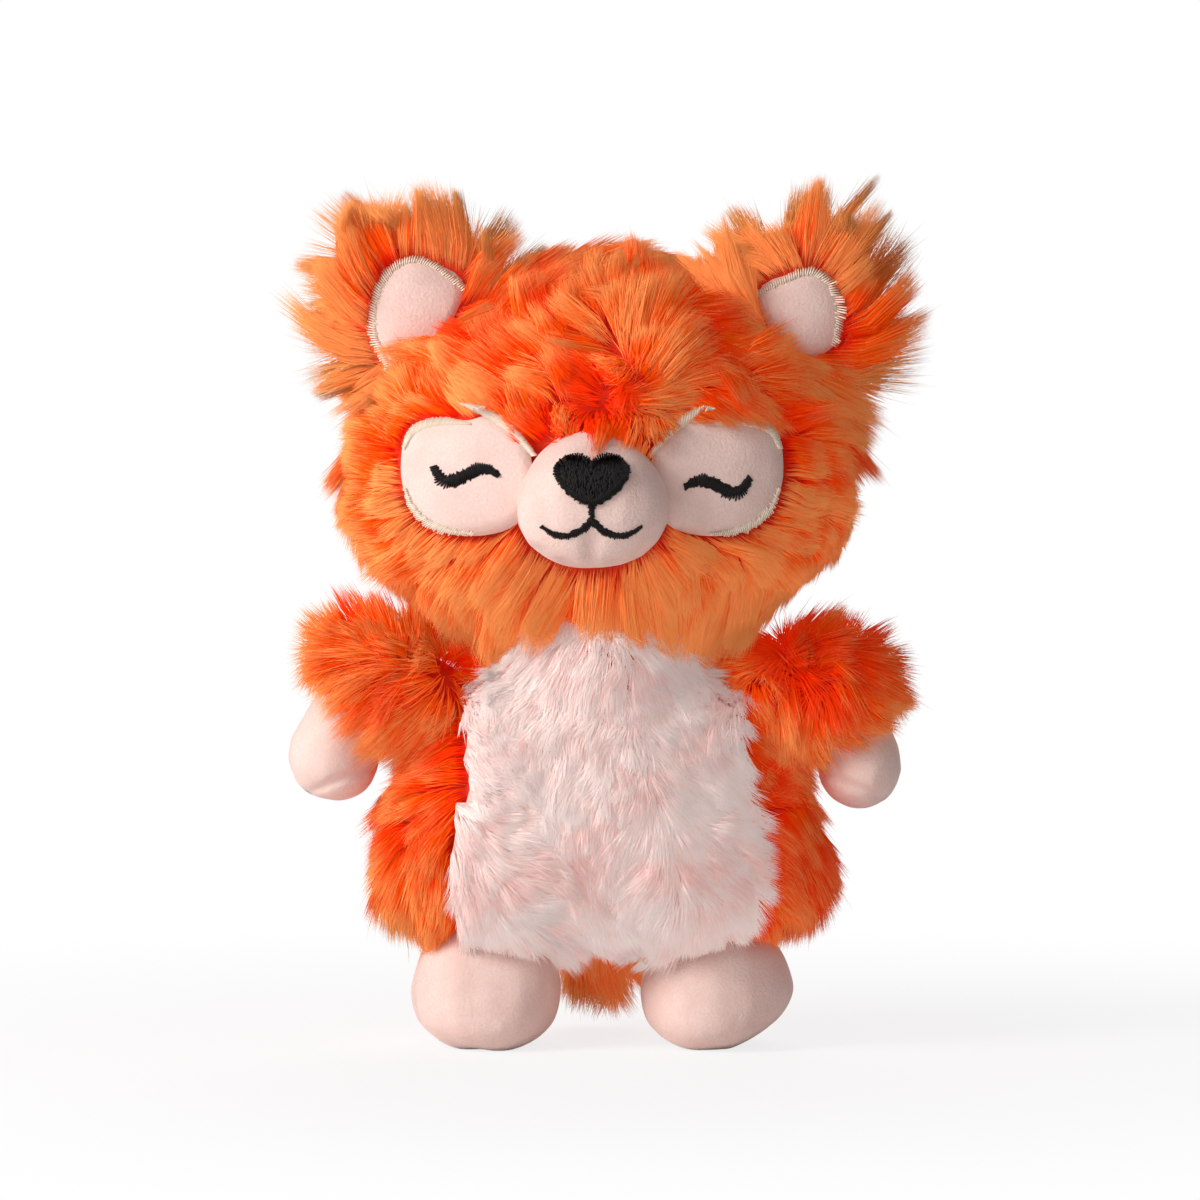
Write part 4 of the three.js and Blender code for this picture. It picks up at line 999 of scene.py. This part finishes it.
def make_eyes(front):
    draws = np.random.default_rng(3)
    for name, side in SIDES.items():
        node = f"eye_patch_edge_{name}"
        habits = (patch_loops[name], front, PATCH_RISE, PATCH_CROWN, PATCH_SEAT, PATCH_FLAT)
        base = pad(*habits)
        tree = stitch_bed(*habits)
        add_piece(f"eye_patch_{name}_plush", base, PINK_PLUSH, "head", (f"eye_patch_{name}",))
        runs = []
        for points, widths, manner in (
            (BROW_OUTER, BROW_OUTER_WIDTHS, {"lift": 0.2 * MM}),
            ([BROW_TIP[name], *BROW_INNER], BROW_INNER_WIDTHS, {"lift": 0.25 * MM}),
            (PATCH_LOWER, PATCH_LOWER_WIDTHS, {"lift": 0.25 * MM, "spacing": 0.4 * MM, "ragged": 0.4}),
        ):
            line = curve_through(placed(points, node, -side), steps=10)
            runs.append(satin(line, widths, tree, draws, slant=0.5, **manner))
        add_stitches(f"{node}_satin", runs, CREAM_THREAD, "head", (node,), FINE_THREAD)
        wave = curve_through(placed(EYE_WAVE, f"eye_{name}", -side), steps=10)
        wave[:, 1] -= EYE_DROP[name]
        run = satin(wave, EYE_WIDTHS, tree, draws, slant=0.3, lift=0.4 * MM, ragged=0.2)
        add_stitches(f"eye_{name}_satin", [run], BLACK_THREAD, "head", (f"eye_{name}",))


# Ears

def make_ears():
    draws = np.random.default_rng(4)
    for name, side in SIDES.items():
        body = f"ear_body_{name}"
        core = evened(wrapped(f"ear_{name}"), LIMB_VOXEL, rounds=4)
        centre, target = middle(f"ear_{name}"), middle(f"ear_edge_{name}")
        for vertex in core.verts:
            offset = vertex.co - centre
            vertex.co = (
                target.x + offset.x * EAR_CORE,
                centre.y + offset.y * EAR_CORE_DEPTH,
                target.z + offset.z * EAR_CORE,
            )
        loop = lining_loops[name]
        roots, ups = scattered(core, EAR_DENSITY, draws)
        bare = (ups[:, 1] < -0.2) & inside(loop, roots[:, [0, 2]])
        roots, ups = roots[~bare], ups[~bare]
        comb = roots - np.array((target.x, centre.y, target.z - EAR_COMB_DROP))
        comb[:, 1] = 0
        turned = smoothstep(0.2, 0.7, ups[:, 1]) - smoothstep(0.25, -0.3, ups[:, 1])
        faced = np.column_stack([0 * turned, turned, 0.2 + 0 * turned])
        lie = {"tuft": 150, "gather": 0.85, "uneven": 0.3, "rise": 0.5, "tousle": 0.4, "stray": 0.12,
               "droop": 0.03, "thick": 0.85, "own": 0.6, "face": faced, "patchy": 0.2, "tone": 0.33}
        top = smoothstep(0, 12 * MM, roots[:, 2] - target.z)
        outer = smoothstep(-6 * MM, 6 * MM, (roots[:, 0] - target.x) * side)
        outer_growth, inner_growth = EAR_GROWTH[name]
        length = EAR_LENGTH * (1 + (outer_growth * outer + inner_growth * (1 - outer)) * top)
        add_fur(f"ear_{name}_fur", body, ORANGE_FUR, roots, ups, comb, length, lie)
        front = BVHTree.FromBMesh(core)
        habits = (loop, front, LINING_RISE, LINING_CROWN, LINING_SEAT)
        lining = pad(*habits)
        tree = stitch_bed(*habits)
        add_piece(f"ear_{name}_skin", core, ORANGE_BACKING, body, (f"ear_{name}",))
        add_piece(f"ear_lining_{name}_plush", lining, PINK_PLUSH, body, (f"ear_lining_{name}",))
        node = f"ear_edge_{name}"
        line = curve_through(placed(LINING_BORDERS[name], node), steps=10)
        run = satin(line, LINING_WIDTHS, tree, draws, 0.3, spacing=0.48 * MM, lift=0.25 * MM, ragged=0.3)
        add_stitches(f"{node}_satin", [run], CREAM_THREAD, body, (node,), FINE_THREAD)


# Body

def panel_loop():
    """The belly panel's outline in the front view."""
    low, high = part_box("belly_panel")
    width, height = half("belly_panel").x, high.z - low.z
    corners = [(-0.98, 0.3), (-0.86, 0.62), (-0.76, 1.0), (0.76, 1.0), (0.86, 0.62), (0.98, 0.3),
               (0.85, 0.06), (0.4, 0), (-0.4, 0), (-0.85, 0.06)]
    return curve_through([(x * width, low.z + z * height) for x, z in corners], steps=6, closed=True)


def swirl(roots):
    """A slow wander of the lie of the fur, in radians."""
    x, y, z = roots.T / MM
    return 0.35 * np.sin(0.16 * x + 0.09 * z) + 0.3 * np.sin(0.13 * z - 0.11 * y + 1.3)


def make_body():
    draws = np.random.default_rng(5)
    skin = pushed(evened(wrapped("body_stuffing"), SKIN_VOXEL, rounds=4), BODY_SKIN_SWELL)
    loop = panel_loop()
    roots, ups = scattered(skin, BODY_DENSITY, draws)
    bare = (ups[:, 1] < -0.15) & inside(loop, roots[:, [0, 2]])
    roots, ups = roots[~bare], ups[~bare]
    aside = np.sign(roots[:, 0]) * 0.35
    comb = np.column_stack([aside + np.sin(swirl(roots)), 0 * aside, -np.ones(len(roots))])
    comb, bare = parted(roots, comb, BODY_PARTINGS)
    lie = {"tuft": 100, "gather": 0.4, "rise": 0.55, "tousle": 0.45, "stray": 0.16, "droop": 0.15,
           # A deeper tone at the partings and on the right side of the body is painted shade
           "tone": -0.05 - 0.35 * bare - BODY_PAINTED_SHADE * smoothstep(15 * MM, 30 * MM, roots[:, 0])}
    add_fur("body_fur", "body", ORANGE_FUR, roots, ups, comb, BODY_LENGTH, lie, parts=2)

    panel = skin.copy()
    panel.normal_update()
    places = np.array([face.calc_center_median() for face in panel.faces])
    kept = inside(loop, places[:, [0, 2]]) & (np.array([face.normal.y for face in panel.faces]) < -0.1)
    bmesh.ops.delete(panel, geom=[f for f, keep in zip(panel.faces, kept) if not keep], context="FACES")
    pushed(panel, BELLY_SKIN_SWELL)
    roots, ups = scattered(panel, BELLY_DENSITY, draws)
    comb = np.column_stack([0.2 + 0.7 * np.sin(swirl(roots)), 0 * roots[:, 0], -np.ones(len(roots))])
    corner = smoothstep(18 * MM, 24 * MM, np.abs(roots[:, 0])) * smoothstep(58 * MM, 66 * MM, roots[:, 2])
    comb[:, 0] -= (comb[:, 0] + 0.5 * np.sign(roots[:, 0])) * corner
    hem = smoothstep(28 * MM, 22 * MM, roots[:, 2]) * smoothstep(6 * MM, 13 * MM, np.abs(roots[:, 0]))
    lie = {"tuft": 70, "gather": 0.4 + 0.2 * hem, "rise": 0.48, "tousle": 0.4, "stray": 0.28, "thick": 0.9,
           "droop": 0.08 + 0.2 * hem, "patchy": 0.18, "uneven": 0.2}
    length = BELLY_LENGTH * (1 + HEM_GROWTH * hem)
    add_fur("belly_fur", "body", PALE_FUR, roots, ups, comb, length, lie, parts=2)
    panel = thickened(panel, BELLY_SKIN_SWELL)
    add_piece("belly_skin", panel, PALE_BACKING, "body", ("belly_panel",))
    add_piece("body_skin", skin, ORANGE_BACKING, "body",
              ("body_cover", "body_stuffing"))


def make_neck():
    draws = np.random.default_rng(6)
    centre = Vector(joint_named("neck_turn")["pos_m"])
    bm = bmesh.new()
    bmesh.ops.create_icosphere(bm, subdivisions=4, radius=NECK_BALL_RADIUS)
    bmesh.ops.translate(bm, verts=bm.verts, vec=centre)
    roots, ups = scattered(bm, BELLY_DENSITY, draws)
    pale = (np.abs(ups[:, 0]) < 0.72) & (ups[:, 1] < 0)
    shown = np.abs(ups[:, 2] - 0.45) < 0.4
    shown &= pale | (draws.random(len(roots)) < BODY_DENSITY / BELLY_DENSITY)
    roots, ups, pale = roots[shown], ups[shown], pale[shown]
    comb = np.column_stack([0.6 * ups[:, 0], 0.3 * ups[:, 1], -np.ones(len(ups))])
    lie = {"tuft": 80, "gather": 0.3, "rise": 0.5, "tousle": 0.35, "stray": 0.2, "droop": 0.1}
    for label, cloth, slot, part in (
        ("neck_front_fur", PALE_FUR, "pale_fur", pale), ("neck_side_fur", ORANGE_FUR, "orange_fur", ~pale),
    ):
        add_fur(label, "body", cloth, roots[part], ups[part], comb[part], BODY_LENGTH, lie)
    whole = bm.verts[:] + bm.edges[:] + bm.faces[:]
    cut = centre - Vector((0, 0, NECK_ROLL_FOOT))
    bmesh.ops.bisect_plane(bm, geom=whole, plane_co=cut, plane_no=(0, 0, -1), clear_outer=True)
    bmesh.ops.holes_fill(bm, edges=bm.edges)
    bmesh.ops.recalc_face_normals(bm, faces=bm.faces)
    add_piece("neck_roll", bm, ORANGE_BACKING, "body")
    height = middle("neck_seam").z
    reach = half("neck_seam").x - LADDER_INSET
    turns = np.linspace(0, 2 * math.pi, LADDER_STITCHES, endpoint=False)
    ring = np.column_stack([
        centre.x + reach * np.cos(turns), centre.y + reach * np.sin(turns), 0 * turns + height,
    ])
    start = ring + np.array([0, 0, -LADDER_DOWN])
    end = np.roll(ring, -1, axis=0) + np.array([0, 0, LADDER_UP])
    bend = (start + end) / 2 + unit(ring - np.array(centre)) * LADDER_BULGE
    width = LADDER_WIDTH * draws.uniform(0.9, 1.1, len(ring))
    tone = draws.uniform(0.03, 0.95, len(ring))
    mesh = strung("neck_ladder_stitches", THREAD, start, bend, end, width / 2, tone)
    add_piece("neck_ladder_stitches", mesh, ORANGE_THREAD, "neck", ("neck_seam",))


# Limbs

def press_seam(hand, node, side):
    """Draws in a groove along the lower edge of a hand, where its seam is sewn."""
    centre = middle(node)
    first, last = placed(HAND_SEAM, node, -side)
    edge = unit(last - first)
    rising = np.array([-edge[1], edge[0]]) * -side
    for vertex in hand.verts:
        height = float((np.array([vertex.co.x, vertex.co.z]) - first) @ rising)
        groove = SEAM_DEPTH * math.exp(-((height / SEAM_WIDTH) ** 2))
        vertex.co.y += groove if vertex.co.y < centre.y else -groove


def make_arms():
    draws = np.random.default_rng(8)
    for name, side in SIDES.items():
        body = f"arm_body_{name}"
        skin = pushed(evened(wrapped(f"sleeve_{name}"), LIMB_VOXEL, rounds=5), -SLEEVE_PILE_DEPTH)
        centre = middle(f"sleeve_{name}")
        way = middle(f"hand_{name}") - centre
        for vertex in skin.verts:
            reach = (vertex.co - centre).dot(way.normalized())
            vertex.co.z += CUFF_LIFT[name] * float(smoothstep(0, 12 * MM, reach))
        roots, ups = scattered(skin, SLEEVE_DENSITY, draws)
        comb = np.tile(unit(np.array([way.x + side * 6 * MM, 0, way.z])), (len(roots), 1))
        comb, bare = parted(roots, comb, SLEEVE_PARTINGS[name])
        reach = (roots - np.array(centre)) @ unit(np.array(way))
        inner = smoothstep(-5 * MM, -13 * MM, reach)
        comb = comb * (1 - inner)[:, None] + np.array([-side, 0, 0.5]) * inner[:, None]
        length = SLEEVE_LENGTH * (1 + SLEEVE_GROWTH[name])
        length *= 1 - CUFF_TRIM[name] * smoothstep(4 * MM, 11 * MM, reach)
        top = smoothstep(0.3, 0.8, ups[:, 2])
        lie = {"tuft": 110, "gather": 0.4, "rise": 0.55 + 0.25 * top, "tousle": 0.45, "stray": 0.16,
               # The sleeve's tone carries painted light and shade, and a deeper tone at the partings is
               # painted shade
               "droop": 0.12 - 0.1 * top, "tone": SLEEVE_PAINTED_LIGHT_SHADE[name] - 0.4 * bare}
        add_fur(f"sleeve_{name}_fur", body, ORANGE_FUR, roots, ups, comb, length, lie)
        add_piece(f"sleeve_{name}_skin", skin, ORANGE_BACKING, body,
                  (f"sleeve_{name}", f"arm_stuffing_{name}"))
        node = f"hand_{name}"
        hand = stuffed(evened(wrapped(node), FACE_VOXEL, rounds=14), HAND_GIVE)
        hand = lumpy(refined(hand), LUMP, LUMP_SPAN, seed=[12, side + 1])
        press_seam(hand, node, side)
        palm, width = middle(node).x, half(node).x
        for vertex in hand.verts:
            vertex.co.x -= side * HAND_TUCK[name] * max((vertex.co.x - palm) * side / width, 0)
        add_piece(f"{node}_plush", hand, PINK_PLUSH, body, (node,))


def make_feet():
    for name, side in SIDES.items():
        foot = refined(stuffed(evened(wrapped(f"foot_{name}"), LIMB_VOXEL, rounds=6), FOOT_GIVE))
        foot = lumpy(foot, 1.5 * LUMP, 1.5 * LUMP_SPAN, seed=[13, side + 1])
        centre = middle(f"foot_{name}")
        for vertex in foot.verts:
            vertex.co.z = max(vertex.co.z, 0)
            outer = (vertex.co.x - centre.x) * side > 0
            tuck = FOOT_TUCK[name][outer] * max(1 - vertex.co.z / FOOT_TUCK_HEIGHT, 0) ** 2
            vertex.co.x -= (vertex.co.x - centre.x) * tuck
        add_piece(f"foot_{name}_plush", foot, PINK_PLUSH, f"foot_body_{name}",
                  (f"foot_{name}", f"foot_stuffing_{name}"))


def make_tail():
    draws = np.random.default_rng(9)
    skin = pushed(evened(wrapped("tail"), LIMB_VOXEL, rounds=4), -TAIL_PILE_DEPTH)
    roots, ups = scattered(skin, TAIL_DENSITY, draws)
    comb = np.tile(np.array([0, 0.1, -1.0]), (len(roots), 1))
    # The tail's paler tone is painted light, on a tail that the body shades
    lie = {"tuft": 80, "gather": 0.5, "rise": 0.45, "tousle": 0.25, "stray": 0.14, "droop": 0.1, "tone": 0.5}
    add_fur("tail_fur", "tail_body", ORANGE_FUR, roots, ups, comb, TAIL_LENGTH, lie)
    add_piece("tail_skin", skin, ORANGE_BACKING, "tail_body", ("tail",))


# Squeaker

def make_squeaker():
    low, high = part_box("squeaker_bulb")
    reach, height = (high.x - low.x) / 2, high.z - low.z
    centre = (low + high) / 2
    bm = bmesh.new()
    profile = [(0, 0)]
    for step in range(PROFILE_STEPS + 1):
        share = step / PROFILE_STEPS
        swell = (1 - math.cos(share * RIBS * 2 * math.pi)) / 2
        profile.append((reach - RIB_DEPTH * (1 - swell), share * height))
    profile += [(BELLOWS_MOUTH, height), (0, height)]
    line = [bm.verts.new((centre.x + r, centre.y, low.z + z)) for r, z in profile]
    edges = [bm.edges.new(pair) for pair in zip(line, line[1:])]
    bmesh.ops.spin(
        bm, geom=line + edges, cent=centre, axis=(0, 0, 1), angle=2 * math.pi, steps=SPIN_STEPS,
        use_merge=True,
    )
    bmesh.ops.remove_doubles(bm, verts=bm.verts, dist=0.01 * MM)
    bmesh.ops.recalc_face_normals(bm, faces=bm.faces)
    bulb = add_piece("squeaker_bellows", bm, SQUEAKER_PLASTIC, "body", ("squeaker_bulb",))
    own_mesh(bulb)
    reed = frame["nodes"]["squeaker_reed"]
    reed.data.materials.clear()
    reed.data.materials.append(REED_PLASTIC)


# Stage, light and camera

AIM = Vector((-0.0004, 0, 0.0896))  # the camera and the lamps look at this point
CAMERA_DISTANCE = 1.2
CAMERA_RISE = 0.042  # over the point that it looks at
VIEW_WIDTH = 0.24  # what the picture spans at that point
SENSOR_WIDTH = 36
WORLD_STRENGTH = 0.21
WORLD_TINT = (1, 0.98, 0.97, 1)
FLOOR_SIZE = 3
FLOOR_COLOUR = (0.9, 0.9, 0.9, 1)
FLOOR_ROUGHNESS = 0.9
FLOOR_FADE = (0.06, 0.3)  # between these distances the floor turns into plain white
FLOOR_GLOW = (0.8, 1)
LAMPS = [  # name, place, size, power and tint
    ("key", (-0.62, -0.4, 0.43), 0.35, 5.45, (1, 0.98, 0.95)),
    ("fill", (-0.3, -0.9, 0.4), 0.7, 1.3, (1, 1, 1)),
    ("rim", (0.1, 0.8, 0.7), 0.6, 3, (1, 1, 1)),
]


def background_rays(tree):
    """1 for the rays that show the pale background: the camera's, and those off gloss and through glass."""
    path = tree.nodes.new("ShaderNodeLightPath")
    shown = path.outputs["Is Camera Ray"]
    for label in ("Is Glossy Ray", "Is Transmission Ray"):
        either = tree.nodes.new("ShaderNodeMath")
        either.operation = "MAXIMUM"
        tree.links.new(shown, either.inputs[0])
        tree.links.new(path.outputs[label], either.inputs[1])
        shown = either.outputs[0]
    return shown


def blend_shaders(tree, share, first, second, out):
    mix = tree.nodes.new("ShaderNodeMixShader")
    for source, socket in zip((share, first, second), mix.inputs):
        tree.links.new(source, socket)
    tree.links.new(mix.outputs[0], out)


def aimed(name, kind, place):
    """Puts a lamp or a camera where it stands, turned towards the point that the view is about."""
    holder = bpy.data.objects.new(name, kind)
    holder.location = place
    holder.rotation_euler = (AIM - Vector(place)).to_track_quat("-Z", "Y").to_euler()
    bpy.context.scene.collection.objects.link(holder)
    return holder


def make_world(scene):
    world = bpy.data.worlds.new("studio")
    scene.world = world
    world.use_nodes = True
    tree = world.node_tree
    tree.nodes.clear()
    out = tree.nodes.new("ShaderNodeOutputWorld")
    dim, bright = tree.nodes.new("ShaderNodeBackground"), tree.nodes.new("ShaderNodeBackground")
    dim.inputs["Strength"].default_value = WORLD_STRENGTH
    dim.inputs["Color"].default_value = WORLD_TINT
    bright.inputs["Strength"].default_value = 1.0
    bright.inputs["Color"].default_value = WHITE
    blend_shaders(tree, background_rays(tree), dim.outputs[0], bright.outputs[0], out.inputs["Surface"])


def make_floor(scene):
    """A pale floor that keeps the toy's shadow near it and is plain white further off."""
    bm = bmesh.new()
    bmesh.ops.create_grid(bm, x_segments=1, y_segments=1, size=FLOOR_SIZE)
    floor = bpy.data.objects.new("floor", mesh_of(bm, "floor"))
    scene.collection.objects.link(floor)
    pale = bpy.data.materials.new("studio_floor")
    pale.use_nodes = True
    tree = pale.node_tree
    shader = tree.nodes["Principled BSDF"]
    shader.inputs["Base Color"].default_value = FLOOR_COLOUR
    shader.inputs["Roughness"].default_value = FLOOR_ROUGHNESS
    glow = tree.nodes.new("ShaderNodeEmission")
    glow.inputs["Strength"].default_value = 1.0
    place, reach = tree.nodes.new("ShaderNodeTexCoord"), tree.nodes.new("ShaderNodeVectorMath")
    reach.operation = "LENGTH"
    tree.links.new(place.outputs["Object"], reach.inputs[0])
    share = tree.nodes.new("ShaderNodeMath")
    share.operation = "MULTIPLY"
    tree.links.new(background_rays(tree), share.inputs[0])
    tree.links.new(mapped(tree, reach.outputs["Value"], FLOOR_FADE, FLOOR_GLOW), share.inputs[1])
    out = tree.nodes["Material Output"].inputs["Surface"]
    blend_shaders(tree, share.outputs[0], shader.outputs[0], glow.outputs[0], out)
    floor.data.materials.append(pale)


def make_stage():
    scene = bpy.context.scene
    scene.view_settings.view_transform = "Standard"
    make_world(scene)
    make_floor(scene)
    for name, place, size, power, tint in LAMPS:
        lamp = bpy.data.lights.new(name, "AREA")
        lamp.size = size
        lamp.energy = power
        lamp.color = tint
        aimed(name, lamp, place)
    camera = bpy.data.cameras.new("camera")
    camera.sensor_width = SENSOR_WIDTH
    camera.lens = SENSOR_WIDTH * CAMERA_DISTANCE / VIEW_WIDTH
    scene.camera = aimed("camera", camera, AIM + Vector((0, -CAMERA_DISTANCE, CAMERA_RISE)))


make_stage()
face_front = make_head()
muzzle_surface = make_muzzle()
make_nose_and_mouth(muzzle_surface)
make_eyes(face_front)
make_ears()
make_body()
make_neck()
make_arms()
make_feet()
make_tail()
make_squeaker()
